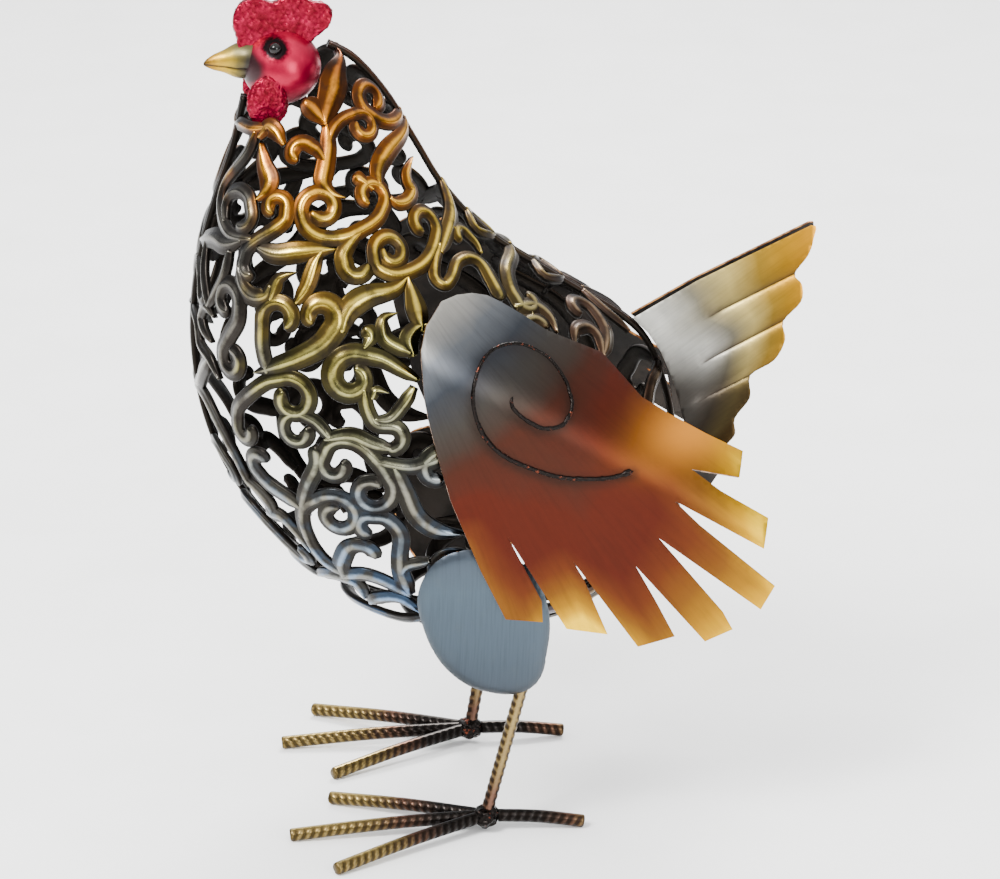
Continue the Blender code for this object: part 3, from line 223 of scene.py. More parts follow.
def bell(value, reach):
    """A bell curve, 1 at zero, that falls off over a reach."""
    return math.exp(-(value / reach) ** 2)


def catmull(rows, at):
    """The smooth curve through rows at a place counted in rows."""
    at = min(max(at, 0.0), len(rows) - 1.0)
    i = min(int(at), len(rows) - 2)
    f = at - i
    a, b = rows[i], rows[i + 1]
    before = rows[i - 1] if i else 2 * a - b
    after = rows[i + 2] if i + 2 < len(rows) else 2 * b - a
    return 0.5 * (2 * a + (b - before) * f + (2 * before - 5 * a + 4 * b - after) * f * f
                  + (3 * a - before - 3 * b + after) * f ** 3)


# Before the lowest ring comes the next one mirrored, so that the form closes round below
RING_ROWS = np.vstack([[RINGS[1][0], RINGS[1][2], RINGS[1][1], -RINGS[1][3]], RINGS])


def ring(t):
    """Height, front, back and half width at a ring number."""
    return catmull(RING_ROWS, t + 1)


def form(angle, t):
    """A point of the body's form, in steps."""
    height, front, back, wide = ring(t)
    turn = math.radians(angle)
    along = (front + back) / 2 - (back - front) / 2 * math.cos(turn)
    across = wide * math.sin(turn) * (1 + FULLNESS * math.cos(turn))
    return Vector((across, along, height))


def slopes(angle, t):
    """How the form moves per degree and per ring, and its outward direction."""
    per_angle = form(angle + 0.5, t) - form(angle - 0.5, t)
    per_ring = (form(angle, t + 0.01) - form(angle, t - 0.01)) / 0.02
    return per_angle, per_ring, per_angle.cross(per_ring).normalized()


def move(place, heading, length):
    """A place further along a heading that lies in the form."""
    per_angle, per_ring, _ = slopes(*place)
    g11, g12, g22 = per_angle.dot(per_angle), per_angle.dot(per_ring), per_ring.dot(per_ring)
    r1, r2 = per_angle.dot(heading) * length, per_ring.dot(heading) * length
    det = max(g11 * g22 - g12 * g12, 1e-9)
    angle = place[0] + (g22 * r1 - g12 * r2) / det
    t = place[1] + (g11 * r2 - g12 * r1) / det
    return (min(max(angle, ANGLES[0]), ANGLES[1]), min(max(t, LOW), NAPE))


def curl(place, heading, turned, first, last):
    """Places of a curl that tightens from one radius to another."""
    places = []
    sign = 1 if turned > 0 else -1
    half_turn = math.tan(math.radians(CURL_STEP / 2))
    for done in range(0, abs(turned), CURL_STEP):
        radius = first + (last - first) * done / abs(turned)
        out = slopes(*place)[2]
        heading = (heading - out * heading.dot(out)).normalized()
        bend = out.cross(heading) * sign * half_turn
        heading = (heading + bend).normalized()
        place = move(place, heading, radius * math.radians(CURL_STEP))
        heading = (heading + bend).normalized()
        places.append(place)
    return places


def stroke_places(through, start, end):
    """The places of a stroke: its curls and the smooth line through its points."""
    rows = [np.array(p, float) for p in through]
    fine = 6
    line = [tuple(catmull(rows, i / fine)) for i in range((len(rows) - 1) * fine + 1)]
    if start:
        heading = (form(*line[0]) - form(*line[1])).normalized()
        line = curl(line[0], heading, *start)[::-1] + line
    if end:
        heading = (form(*line[-1]) - form(*line[-2])).normalized()
        line = line + curl(line[-1], heading, *end)
    return line


def share_widths(count, widths):
    """Widths along a stroke from its start, middle and end widths."""
    rows = [np.array([w], float) for w in widths]
    return [float(catmull(rows, 2 * i / (count - 1))[0]) for i in range(count)]


def chords(places, widths):
    """Even points along the straight runs between a stroke's places, with their place and width."""
    rows = []
    for i in range(len(places) - 1):
        a, b = form(*places[i]), form(*places[i + 1])
        count = max(int((b - a).length / CHORD), 1)
        for k in range(count):
            f = k / count
            place = tuple(u + (v - u) * f for u, v in zip(places[i], places[i + 1]))
            rows.append((a.lerp(b, f), place, widths[i] + (widths[i + 1] - widths[i]) * f))
    rows.append((form(*places[-1]), places[-1], widths[-1]))
    return rows


def near_pairs(lines):
    """For every two strokes the gap between them and the places where it is smallest."""
    rows = [chords(*line) for line in lines]
    clouds = [tree_of([point for point, _, _ in row]) for row in rows]
    found = []
    for i, row in enumerate(rows):
        for j in range(i + 1, len(rows)):
            best = None
            for point, place, width in row:
                _, index, apart = clouds[j].find(point)
                free = apart - TOUCH * (width + rows[j][index][2])
                if best is None or free < best[0]:
                    best = (free, i, j, place, rows[j][index][1])
            found.append(best)
    return sorted(found)


def links(lines):
    """Short welds that join strokes which don't touch, nearest first."""
    group = list(range(len(lines)))
    made = []
    for free, i, j, here, there in near_pairs(lines):
        if group[i] != group[j]:
            old, new = group[j], group[i]
            group = [new if g == old else g for g in group]
            if free > 0:
                made.append(([here, there], [LINK, LINK]))
    return made


def seam_line(front, back):
    """Places along the seam from the throat down under the body and up the back to the nape."""
    down = [(0.0, t) for t in np.linspace(THROAT, 0.0, front)]
    return down + [(180.0, t) for t in np.linspace(0.0, NAPE, back)][1:]


def from_hub(angle, distance):
    """Length and height of a place on the wing, from its direction and distance from the hub."""
    turn = math.radians(angle)
    return HUB[0] + distance * math.sin(turn), HUB[1] - distance * math.cos(turn)


def wing_outline():
    """Corners of the wing sheet, length against height, in steps."""
    return [from_hub(*corner) for row in [*FEATHERS, SHOULDER] for corner in row]


def srgb(text):
    """A colour from its hex text, as linear values."""
    values = [int(text[i:i + 2], 16) / 255 for i in (0, 2, 4)]
    return (*[v / 12.92 if v <= 0.04045 else ((v + 0.055) / 1.055) ** 2.4 for v in values], 1.0)


def add(tree, kind, settings, inputs, out=0):
    """One shader node with its settings and links; gives the socket that it is read by."""
    made = tree.nodes.new("ShaderNode" + kind)
    for key, value in settings.items():
        if key == "stops":
            ramp = made.color_ramp
            while len(ramp.elements) < len(value):
                ramp.elements.new(1.0)
            for stop, (place, colour) in zip(ramp.elements, value):
                stop.position = place
                stop.color = srgb(colour)
        else:
            setattr(made, key, value)
    for key, value in inputs.items():
        if isinstance(value, bpy.types.NodeSocket):
            tree.links.new(value, made.inputs[key])
        else:
            made.inputs[key].default_value = value
    return made.outputs[out]


def finish_of(name, metallic, **fixed):
    """A new material, its tree, its shader with the fixed values set, and the place on the piece."""
    made = bpy.data.materials.new(name)
    made.use_nodes = True
    tree = made.node_tree
    shader = tree.nodes["Principled BSDF"]
    shader.inputs["Metallic"].default_value = metallic
    for key, value in fixed.items():
        shader.inputs[key.replace("_", " ")].default_value = value
    return made, tree, shader, add(tree, "TexCoord", {}, {}, "Object")


def plug(tree, shader, **sockets):
    """Links values to the shader's sockets; Base_Color stands for Base Color and so on."""
    for name, value in sockets.items():
        tree.links.new(value, shader.inputs[name.replace("_", " ")])


# Settings that many nodes share; a noise's scale is MM divided by its patches' size in millimetres
MM = 1000.0
MIX = {"data_type": "RGBA", "clamp_factor": True}
SOFT = {"data_type": "RGBA", "clamp_factor": True, "blend_type": "SOFT_LIGHT"}
EASE = {"interpolation_type": "SMOOTHSTEP"}
PLUS = {"operation": "ADD"}
TIMES = {"operation": "MULTIPLY"}
TIMES_PLUS = {"operation": "MULTIPLY_ADD"}

# Lacquer of the scrolls from the lowest to the highest, on their flanks and on their rubbed crowns
FLANKS = [(0.07, "2C3C50"), (0.22, "272E36"), (0.34, "242628"), (0.45, "28271C"), (0.55, "302C18"),
          (0.64, "3F3317"), (0.72, "4A3412"), (0.80, "593411"), (0.88, "582F10"), (0.96, "301A0E")]
CROWNS = [(0.07, "7C9DC8"), (0.22, "7A8894"), (0.34, "767A7A"), (0.45, "8A8866"), (0.55, "A39B58"),
          (0.64, "C2A94C"), (0.72, "E6C048"), (0.80, "F0B438"), (0.88, "E69A28"), (0.96, "97562A")]


def scroll_lacquer():
    """Aged lacquer wiped over steel scrolls: gold at the neck, olive on the body, gunmetal and
    blue below, brown along the back, near black in the hollows and, as painted shade, on the backs
    toward the inside; bright on the ridges, and lighter on upper flanks as a painted highlight."""
    made, tree, shader, place = finish_of("scroll_lacquer", 1.0)
    split = add(tree, "SeparateXYZ", {}, {0: place}).node
    ridge = add(tree, "Attribute", {"attribute_name": "ridge"}, {}, "Fac")
    cloud = add(tree, "TexNoise", {}, {"Vector": place, "Scale": MM / 26})
    blots = add(tree, "TexNoise", {}, {"Vector": place, "Scale": MM / 12})
    wash = add(tree, "TexNoise", {}, {"Vector": place, "Scale": MM / 9, "Detail": 3.0})
    fine = add(tree, "TexNoise", {}, {"Vector": place, "Scale": MM / 1.6, "Detail": 4.0})

    # the colours change with height, with an uneven edge
    shift = add(tree, "MapRange", EASE, {0: cloud, 1: 0.3, 2: 0.7, 3: -0.011, 4: 0.011})
    high = add(tree, "Math", PLUS, {0: split.outputs[2], 1: shift})
    share = add(tree, "MapRange", {}, {0: high, 1: 0.08, 2: 0.36})
    flank = add(tree, "ValToRGB", {"stops": FLANKS}, {0: share})
    crown = add(tree, "ValToRGB", {"stops": CROWNS}, {0: share})

    # gunmetal down the breast, brown along the back, bare grey blots among the blue below
    forward = add(tree, "Math", PLUS, {0: split.outputs[1], 1: shift})
    breast = add(tree, "MapRange", EASE, {0: forward, 1: -0.124, 2: -0.108, 3: 1.0, 4: 0.0})
    above = add(tree, "MapRange", EASE, {0: high, 1: 0.17, 2: 0.2})
    breast = add(tree, "Math", TIMES, {0: breast, 1: above})
    back = add(tree, "MapRange", EASE, {0: split.outputs[1], 1: -0.02, 2: 0.03})
    below = add(tree, "MapRange", EASE, {0: high, 1: 0.16, 2: 0.21, 3: 1.0, 4: 0.0})
    grey = add(tree, "MapRange", EASE, {0: blots, 1: 0.45, 2: 0.57, 4: 0.8})
    grey = add(tree, "Math", TIMES, {0: grey, 1: below})
    for part, dark, light in ((breast, "2A2724", "67645C"), (back, "33241B", "7A6650"),
                              (grey, "28251E", "77715F")):
        flank = add(tree, "Mix", MIX, {0: part, 6: flank, 7: srgb(dark)}, 2)
        crown = add(tree, "Mix", MIX, {0: part, 6: crown, 7: srgb(light)}, 2)

    # dark wash in the hollows and painted shade on the backs toward the inside, flanks of thin
    # lacquer, crowns rubbed bright and lighter on upper flanks as a painted highlight, blots of wash over
    # all
    wiped = add(tree, "Math", TIMES_PLUS, {0: fine, 1: 0.14, 2: -0.07})
    worn = add(tree, "Math", PLUS, {0: ridge, 1: wiped})
    thin = add(tree, "MapRange", EASE, {0: worn, 1: 0.06, 2: 0.48})
    rubbed = add(tree, "MapRange", EASE, {0: worn, 1: 0.6, 2: 1.1})
    stain = add(tree, "MapRange", EASE, {0: wash, 1: 0.46, 2: 0.66, 4: 0.66})
    base = add(tree, "Mix", MIX, {0: thin, 6: srgb("1C1916"), 7: flank}, 2)
    base = add(tree, "Mix", MIX, {0: rubbed, 6: base, 7: crown}, 2)
    base = add(tree, "Mix", MIX, {0: stain, 6: base, 7: srgb("1E1A17")}, 2)
    dull = add(tree, "MapRange", EASE, {0: worn, 1: 0.2, 2: 0.95, 3: 0.42, 4: 0.2})
    relief = add(tree, "Bump", {}, {"Height": fine, "Distance": 0.05 * STEP})
    plug(tree, shader, Base_Color=base, Roughness=dull, Normal=relief)
    return made


def lacquered(name, stops, rough):
    """Sheet lacquered in colours that run into each other, brushed lightly first, sooty and darkened
    with painted shade in places, with a painted warm highlight where marked.
    """
    made, tree, shader, place = finish_of(name, 1.0)
    along = add(tree, "Attribute", {"attribute_name": "along"}, {}, "Fac")
    soot = add(tree, "Attribute", {"attribute_name": "soot"}, {}, "Fac")
    warm = add(tree, "Attribute", {"attribute_name": "warm"}, {}, "Fac")
    brushed = add(tree, "Attribute", {"attribute_name": "brush"}, {}, "Vector")
    cloud = add(tree, "TexNoise", {}, {"Vector": place, "Scale": MM / 22, "Detail": 3.0})
    mottle = add(tree, "TexNoise", {}, {"Vector": place, "Scale": MM / 6, "Detail": 4.0, "Roughness": 0.6})
    lines = add(tree, "TexNoise", {}, {"Vector": brushed, "Scale": 1.0, "Detail": 4.0, "Roughness": 0.6})
    shift = add(tree, "Math", TIMES_PLUS, {0: cloud, 1: 0.07, 2: -0.035})
    moved = add(tree, "Math", PLUS, {0: along, 1: shift})
    streak = add(tree, "MapRange", EASE, {0: lines, 1: 0.4, 2: 0.75, 4: 0.16})
    pale = add(tree, "MapRange", EASE, {0: mottle, 1: 0.5, 2: 0.8, 4: 0.1})
    base = add(tree, "ValToRGB", {"stops": stops}, {0: moved})
    base = add(tree, "Mix", MIX, {0: streak, 6: base, 7: srgb("1B1512")}, 2)
    base = add(tree, "Mix", SOFT, {0: pale, 6: base, 7: srgb("EADCC0")}, 2)
    # a painted warm highlight where the marks put it
    base = add(tree, "Mix", MIX, {0: warm, 6: base, 7: srgb("E4922E")}, 2)
    # soot and painted shade, darker where the marks put them
    base = add(tree, "Mix", MIX, {0: soot, 6: base, 7: srgb("231C18")}, 2)
    dull = add(tree, "MapRange", EASE, {0: mottle, 1: 0.3, 2: 0.7, 3: rough - 0.015, 4: rough + 0.02})
    relief = add(tree, "Bump", {}, {"Height": lines, "Distance": 0.007 * STEP})
    plug(tree, shader, Base_Color=base, Roughness=dull, Normal=relief)
    return made


def shaded_back():
    """The side of the sheet that faces the body: dark steel, painted near black as shade, dull and uneven.
    """
    made, tree, shader, place = finish_of("shaded_back_steel", 0.8)
    cloud = add(tree, "TexNoise", {}, {"Vector": place, "Scale": MM / 18, "Detail": 4.0})
    tooth = add(tree, "TexNoise", {}, {"Vector": place, "Scale": MM / 1.2, "Detail": 3.0})
    share = add(tree, "MapRange", EASE, {0: cloud, 1: 0.35, 2: 0.7})
    base = add(tree, "Mix", MIX, {0: share, 6: srgb("1E1B19"), 7: srgb("3A342F")}, 2)
    dull = add(tree, "MapRange", EASE, {0: cloud, 1: 0.3, 2: 0.7, 3: 0.45, 4: 0.6})
    relief = add(tree, "Bump", {}, {"Height": tooth, "Distance": 0.04 * STEP})
    plug(tree, shader, Base_Color=base, Roughness=dull, Normal=relief)
    return made


def bare_and_lit_edge():
    """The cut edge of the sheet, where the lacquer is rubbed through to bright copper, brighter still as a
    painted highlight along the rim.
    """
    made, tree, shader, place = finish_of("rubbed_and_lit_copper_edge", 1.0)
    patch = add(tree, "TexNoise", {}, {"Vector": place, "Scale": MM / 5, "Detail": 3.0})
    share = add(tree, "MapRange", EASE, {0: patch, 1: 0.4, 2: 0.62})
    base = add(tree, "Mix", MIX, {0: share, 6: srgb("63402A"), 7: srgb("B98452")}, 2)
    dull = add(tree, "MapRange", EASE, {0: patch, 1: 0.4, 2: 0.6, 3: 0.42, 4: 0.26})
    plug(tree, shader, Base_Color=base, Roughness=dull)
    return made


def weld_bead():
    """Run weld, dark glossy oxide with painted highlights: copper patches that stand for glints on its
    drops.
    """
    made, tree, shader, place = finish_of("weld_bead", 0.9)
    patch = add(tree, "TexNoise", {}, {"Vector": place, "Scale": MM / 2.6, "Detail": 3.0})
    drops = add(tree, "TexNoise", {}, {"Vector": place, "Scale": MM / 0.9, "Detail": 3.0})
    share = add(tree, "MapRange", EASE, {0: patch, 1: 0.58, 2: 0.72})
    base = add(tree, "Mix", MIX, {0: share, 6: srgb("15110F"), 7: srgb("66301F")}, 2)
    dull = add(tree, "MapRange", EASE, {0: patch, 1: 0.4, 2: 0.7, 3: 0.16, 4: 0.3})
    relief = add(tree, "Bump", {}, {"Height": drops, "Distance": 0.25 * STEP})
    plug(tree, shader, Base_Color=base, Roughness=dull, Normal=relief)
    return made


# Bar colours from dark at the ankle weld to the free end: in the grooves, on the bar and on its ribs
BAR_GROOVES = [(0.3, "14110F"), (0.7, "2A201A"), (1.0, "41361F")]
BAR_SIDES = [(0.3, "1A1716"), (0.6, "3C2B21"), (0.85, "54452A"), (1.0, "665532")]
BAR_RIBS = [(0.3, "45413E"), (0.6, "6E5042"), (0.85, "968254"), (1.0, "AE985F")]


def rib_brass():
    """Ribbed bar in brass lacquer rubbed on its ribs, darker toward the ankle weld."""
    made, tree, shader, place = finish_of("rubbed_brass_bar", 1.0)
    ridge = add(tree, "Attribute", {"attribute_name": "ridge"}, {}, "Fac")
    tone = add(tree, "Attribute", {"attribute_name": "tone"}, {}, "Fac")
    patch = add(tree, "TexNoise", {}, {"Vector": place, "Scale": MM / 14, "Detail": 3.0})
    fine = add(tree, "TexNoise", {}, {"Vector": place, "Scale": MM / 1.1, "Detail": 4.0})
    wiped = add(tree, "Math", TIMES_PLUS, {0: fine, 1: 0.3, 2: -0.15})
    worn = add(tree, "Math", PLUS, {0: ridge, 1: wiped})
    bar_tone = add(tree, "Math", TIMES_PLUS, {0: patch, 1: 0.3, 2: tone})
    groove = add(tree, "ValToRGB", {"stops": BAR_GROOVES}, {0: bar_tone})
    side = add(tree, "ValToRGB", {"stops": BAR_SIDES}, {0: bar_tone})
    rib = add(tree, "ValToRGB", {"stops": BAR_RIBS}, {0: bar_tone})
    thin = add(tree, "MapRange", EASE, {0: worn, 1: 0.05, 2: 0.55})
    rubbed = add(tree, "MapRange", EASE, {0: worn, 1: 0.6, 2: 1.05})
    base = add(tree, "Mix", MIX, {0: thin, 6: groove, 7: side}, 2)
    base = add(tree, "Mix", MIX, {0: rubbed, 6: base, 7: rib}, 2)
    dull = add(tree, "MapRange", EASE, {0: worn, 1: 0.2, 2: 0.9, 3: 0.45, 4: 0.28})
    relief = add(tree, "Bump", {}, {"Height": fine, "Distance": 0.06 * STEP})
    plug(tree, shader, Base_Color=base, Roughness=dull, Normal=relief)
    return made


def smudge(tree, place, middle, reach, rough):
    """How far a place is from the middle of a smudge, in its own reach, with an uneven edge."""
    (y, z), (long, high) = middle, reach
    fixed = {"Vector": place, "Location": (0, -y / long, -z / high), "Scale": (0, 1 / long, 1 / high)}
    moved = add(tree, "Mapping", {}, fixed)
    apart = add(tree, "VectorMath", {"operation": "LENGTH"}, {0: moved}, "Value")
    return add(tree, "Math", TIMES_PLUS, {0: rough, 1: 0.4, 2: apart})


def face_enamel():
    """Candy enamel sprayed over metal: crimson, pink where the light takes it, darker on its lower half
    as painted shade, smoked with black round the eye and at the root of the beak."""
    made, tree, shader, place = finish_of("candy_enamel", 0.7, Coat_Weight=0.05, Coat_Roughness=0.12)
    high = add(tree, "SeparateXYZ", {}, {0: place}, "Z")
    cloud = add(tree, "TexNoise", {}, {"Vector": place, "Scale": MM / 12, "Detail": 3.0})
    fine = add(tree, "TexNoise", {}, {"Vector": place, "Scale": MM / 1.5, "Detail": 3.0})
    eye = smudge(tree, place, (EYE[1] * STEP, EYE[2] * STEP), (6.4e-3, 5.0e-3), fine)
    root = smudge(tree, place, (-0.1150, 0.3463), (7.5e-3, 8.5e-3), cloud)
    share = add(tree, "MapRange", EASE, {0: cloud, 1: 0.35, 2: 0.65})
    # the lower half of the face is darker: painted shade under the head
    low = add(tree, "MapRange", EASE, {0: high, 1: 0.328, 2: 0.345, 3: 1.0, 4: 0.0})
    black = add(tree, "MapRange", EASE, {0: eye, 1: 0.85, 2: 1.4, 3: 1.0, 4: 0.0})
    smoke = add(tree, "MapRange", EASE, {0: root, 1: 0.9, 2: 1.5, 3: 0.96, 4: 0.0})
    base = add(tree, "Mix", MIX, {0: share, 6: srgb("94002C"), 7: srgb("B00638")}, 2)
    base = add(tree, "Mix", MIX, {0: low, 6: base, 7: srgb("7C0424")}, 2)
    base = add(tree, "Mix", MIX, {0: black, 6: base, 7: srgb("0A0506")}, 2)
    base = add(tree, "Mix", MIX, {0: smoke, 6: base, 7: srgb("1E181A")}, 2)
    shine = add(tree, "MapRange", EASE, {0: eye, 1: 0.9, 2: 1.5, 3: 0.02, 4: 0.35})
    dull = add(tree, "MapRange", EASE, {0: cloud, 1: 0.3, 2: 0.7, 3: 0.3, 4: 0.38})
    relief = add(tree, "Bump", {}, {"Height": fine, "Distance": 0.03 * STEP})
    plug(tree, shader, Base_Color=base, Specular_IOR_Level=shine, Roughness=dull, Normal=relief)
    return made


def comb_enamel():
    """The same enamel, deeper, on a pebbled casting: a painted pink highlight on the pebbles' tops and
    painted shade between them.
    """
    made, tree, shader, place = finish_of("pebbled_enamel", 0.7, Coat_Weight=0.03, Coat_Roughness=0.2,
                                          Specular_IOR_Level=0.2)
    ridge = add(tree, "Attribute", {"attribute_name": "ridge"}, {}, "Fac")
    fine = add(tree, "TexNoise", {}, {"Vector": place, "Scale": MM / 1.2, "Detail": 3.0})
    patch = add(tree, "TexNoise", {}, {"Vector": place, "Scale": MM / 9, "Detail": 3.0})
    share = add(tree, "MapRange", EASE, {0: patch, 1: 0.35, 2: 0.65})
    # painted shade between the pebbles and a painted pink highlight on their tops
    raised = add(tree, "MapRange", EASE, {0: ridge, 1: 0.0, 2: 0.7})
    pebble_highlight = add(tree, "MapRange", EASE, {0: ridge, 1: 0.75, 2: 1.0, 4: 0.35})
    deep = add(tree, "Mix", MIX, {0: share, 6: srgb("7E0022"), 7: srgb("9A0434")}, 2)
    base = add(tree, "Mix", MIX, {0: raised, 6: srgb("56000F"), 7: deep}, 2)
    base = add(tree, "Mix", MIX, {0: pebble_highlight, 6: base, 7: srgb("C42254")}, 2)
    dull = add(tree, "MapRange", EASE, {0: fine, 1: 0.3, 2: 0.7, 3: 0.26, 4: 0.4})
    relief = add(tree, "Bump", {}, {"Height": fine, "Distance": 0.06 * STEP})
    plug(tree, shader, Base_Color=base, Roughness=dull, Normal=relief)
    return made


# Beak colours from its tip to its root
BEAK_STOPS = [(0.0, "3A2810"), (0.14, "8A6414"), (0.28, "AE8610"), (0.46, "A2841C"), (0.6, "605428"),
              (0.76, "302C26"), (1.0, "1A1717")]


def beak_enamel():
    """Satin enamel: olive yellow, brown at the tip, smoked grey toward the face."""
    made, tree, shader, place = finish_of("beak_enamel", 0.6, Coat_Weight=0.05, Coat_Roughness=0.2,
                                          Specular_IOR_Level=0.25)
    split = add(tree, "SeparateXYZ", {}, {0: place}).node
    ridge = add(tree, "Attribute", {"attribute_name": "ridge"}, {}, "Fac")
    cloud = add(tree, "TexNoise", {}, {"Vector": place, "Scale": MM / 4, "Detail": 3.0})
    drawn = add(tree, "Mapping", {}, {"Vector": place, "Scale": (1, 0.3, 1)})
    grain = add(tree, "TexNoise", {}, {"Vector": drawn, "Scale": MM / 0.8, "Detail": 3.0})
    along = add(tree, "Math", TIMES_PLUS, {0: cloud, 1: 0.004, 2: split.outputs[1]})
    share = add(tree, "MapRange", {}, {0: along, 1: -0.131, 2: -0.107})
    top = add(tree, "MapRange", EASE, {0: split.outputs[2], 1: 0.3485, 2: 0.3545, 4: 0.7})
    mouth = add(tree, "MapRange", EASE, {0: ridge, 1: 0.0, 2: 0.8, 3: 1.0, 4: 0.0})
    base = add(tree, "ValToRGB", {"stops": BEAK_STOPS}, {0: share})
    base = add(tree, "Mix", MIX, {0: top, 6: base, 7: srgb("57512F")}, 2)
    base = add(tree, "Mix", MIX, {0: mouth, 6: base, 7: srgb("2A2117")}, 2)
    dull = add(tree, "MapRange", EASE, {0: cloud, 1: 0.3, 2: 0.7, 3: 0.3, 4: 0.42})
    relief = add(tree, "Bump", {}, {"Height": grain, "Distance": 0.04 * STEP})
    plug(tree, shader, Base_Color=base, Roughness=dull, Normal=relief)
    return made


def eye_gloss():
    """Black glass-like enamel of the eye, with brown deep in it."""
    made, tree, shader, place = finish_of("black_eye_enamel", 0.0, Specular_IOR_Level=0.3)
    cloud = add(tree, "TexNoise", {}, {"Vector": place, "Scale": MM / 2})
    share = add(tree, "MapRange", EASE, {0: cloud, 1: 0.4, 2: 0.7})
    base = add(tree, "Mix", MIX, {0: share, 6: srgb("030303"), 7: srgb("120B0B")}, 2)
    dull = add(tree, "MapRange", EASE, {0: cloud, 1: 0.3, 2: 0.7, 3: 0.05, 4: 0.09})
    plug(tree, shader, Base_Color=base, Roughness=dull)
    return made


def sweep(rows, marks):
    """A closed skin over rows of points: the first row is drawn and extruded on to each next one."""
    work = bmesh.new()
    slot = work.verts.layers.int.new("slot")
    ridge = work.verts.layers.float.new("ridge")
    fresh = [work.verts.new(p) for p in rows[0]]
    for k, vert in enumerate(fresh):
        vert[slot] = k
        vert[ridge] = marks[0][k]
    work.faces.new(fresh)
    edges = work.edges[:]
    for row, mark in zip(rows[1:], marks[1:]):
        made = bmesh.ops.extrude_edge_only(work, edges=edges)["geom"]
        fresh = {g for g in made if isinstance(g, bmesh.types.BMVert)}
        edges = [g for g in made if isinstance(g, bmesh.types.BMEdge) and set(g.verts) <= fresh]
        for vert in fresh:
            vert.co = row[vert[slot]]
            vert[ridge] = mark[vert[slot]]
    work.faces.new(sorted(fresh, key=lambda v: v[slot]))
    bmesh.ops.recalc_face_normals(work, faces=work.faces[:])
    return work


def mesh_of(name, work):
    """A mesh from a working one, which is freed."""
    mesh = bpy.data.meshes.new(name)
    work.to_mesh(mesh)
    work.free()
    return mesh


def placed(name, data):
    """A new object in the scene."""
    made = bpy.data.objects.new(name, data)
    bpy.context.scene.collection.objects.link(made)
    return made


def joined(works):
    """Several meshes as one."""
    whole = bmesh.new()
    whole.verts.layers.float.new("ridge")
    for work in works:
        mesh = mesh_of("part", work)
        whole.from_mesh(mesh)
        bpy.data.meshes.remove(mesh)
    return whole


def mirrored(work):
    """The same mesh on the other side."""
    other = work.copy()
    bmesh.ops.scale(other, vec=(-1, 1, 1), verts=other.verts[:])
    bmesh.ops.reverse_faces(other, faces=other.faces[:])
    return other


def piece(name, work, paints, stands_for=(), sharp=None):
    """A finished piece that rides on the hen."""
    mesh = mesh_of(name, work)
    for paint in paints:
        mesh.materials.append(paint)
    mesh.shade_smooth()
    if sharp:
        mesh.set_sharp_from_angle(angle=math.radians(sharp))
    made = placed(name, mesh)
    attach(made, "root")
    if stands_for:
        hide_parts(*stands_for)


def pair(name, work, paints, node, sharp=None):
    """A piece on the hen's left and its mirror image on the right."""
    other = mirrored(work)
    for side, mesh in (("left", work), ("right", other)):
        nodes = (f"{node}_{side}",) if node else ()
        piece(f"{name}_{side}", mesh, paints, nodes, sharp)


def ahead_at(points, i):
    """The direction of a line of points at one of them."""
    return (points[min(i + 1, len(points) - 1)] - points[max(i - 1, 0)]).normalized()


# Section of a scroll: share of its half width, height over the form in steps, how worn it is.
# A dark wall (wash at its sides, painted shade on its back toward the inside), a narrow rolled rim,
# a hollow flank and a rounded ridge, the same on both sides.
FLANK = [(-0.80, -1.5, 0.0), (-0.96, -0.7, 0.0), (-1.0, 0.25, 0.08), (-0.95, 0.72, 0.34),
         (-0.84, 0.95, 0.46), (-0.64, 1.1, 0.42), (-0.42, 1.45, 0.6), (-0.2, 1.95, 0.9)]
SECTION = FLANK + [(0.0, 2.1, 1.0)] + [(-across, high, mark) for across, high, mark in FLANK[::-1]]
BULB = 3.9                # radius of the round end of a curl, in steps
MEETS = 1.5               # gap within which the end of a stroke meets another one, in steps
LEAF = 8                  # an end narrower than this is drawn out to a point, in steps
NEIGHBOURS = 80           # how many of the nearest places an end is compared with

# Section of the strip at the seam: out from the seam, height over the form, how worn it is; its
# walls are dark with wash, and with painted shade where they face the inside
SEAM_SECTION = [(0.15, -1.3, 0.0), (0.15, 0.9, 0.15), (0.7, 1.3, 0.35), (1.8, 1.45, 0.5),
                (2.8, 1.2, 0.35), (3.35, 0.6, 0.15), (3.35, -1.3, 0.0)]


def fine_path(places, widths, gap):
    """Places along a stroke at an even small gap, with their widths."""
    rows = [np.array((*p, w), float) for p, w in zip(places, widths)]
    points = [form(*p) for p in places]
    path = []
    for i in range(len(rows) - 1):
        count = max(round((points[i + 1] - points[i]).length / gap), 1)
        path += [catmull(rows, i + k / count) for k in range(count)]
    return path + [rows[-1]]


def end_kinds(lines, curled):
    """How each stroke ends: in a curl, on another stroke or the seam, or free as a leaf or a stub."""
    owners = [(i, *row) for i, line in enumerate(lines) for row in zip(*line)]
    tree = tree_of([form(*place) for _, place, _ in owners])
    kinds = []
    for i, (places, widths) in enumerate(lines):
        row = []
        for bent, place, width in zip(curled[i], (places[0], places[-1]), (widths[0], widths[-1])):
            found = tree.find_n(form(*place), NEIGHBOURS)
            near = [(apart, owners[k][2]) for _, k, apart in found if owners[k][0] != i]
            meets = not 2 < place[0] < 178 or (near and near[0][0] < near[0][1] / 2 + MEETS)
            row.append("curl" if bent else "joint" if meets else "leaf" if width < LEAF else "stub")
        kinds.append(row)
    return kinds


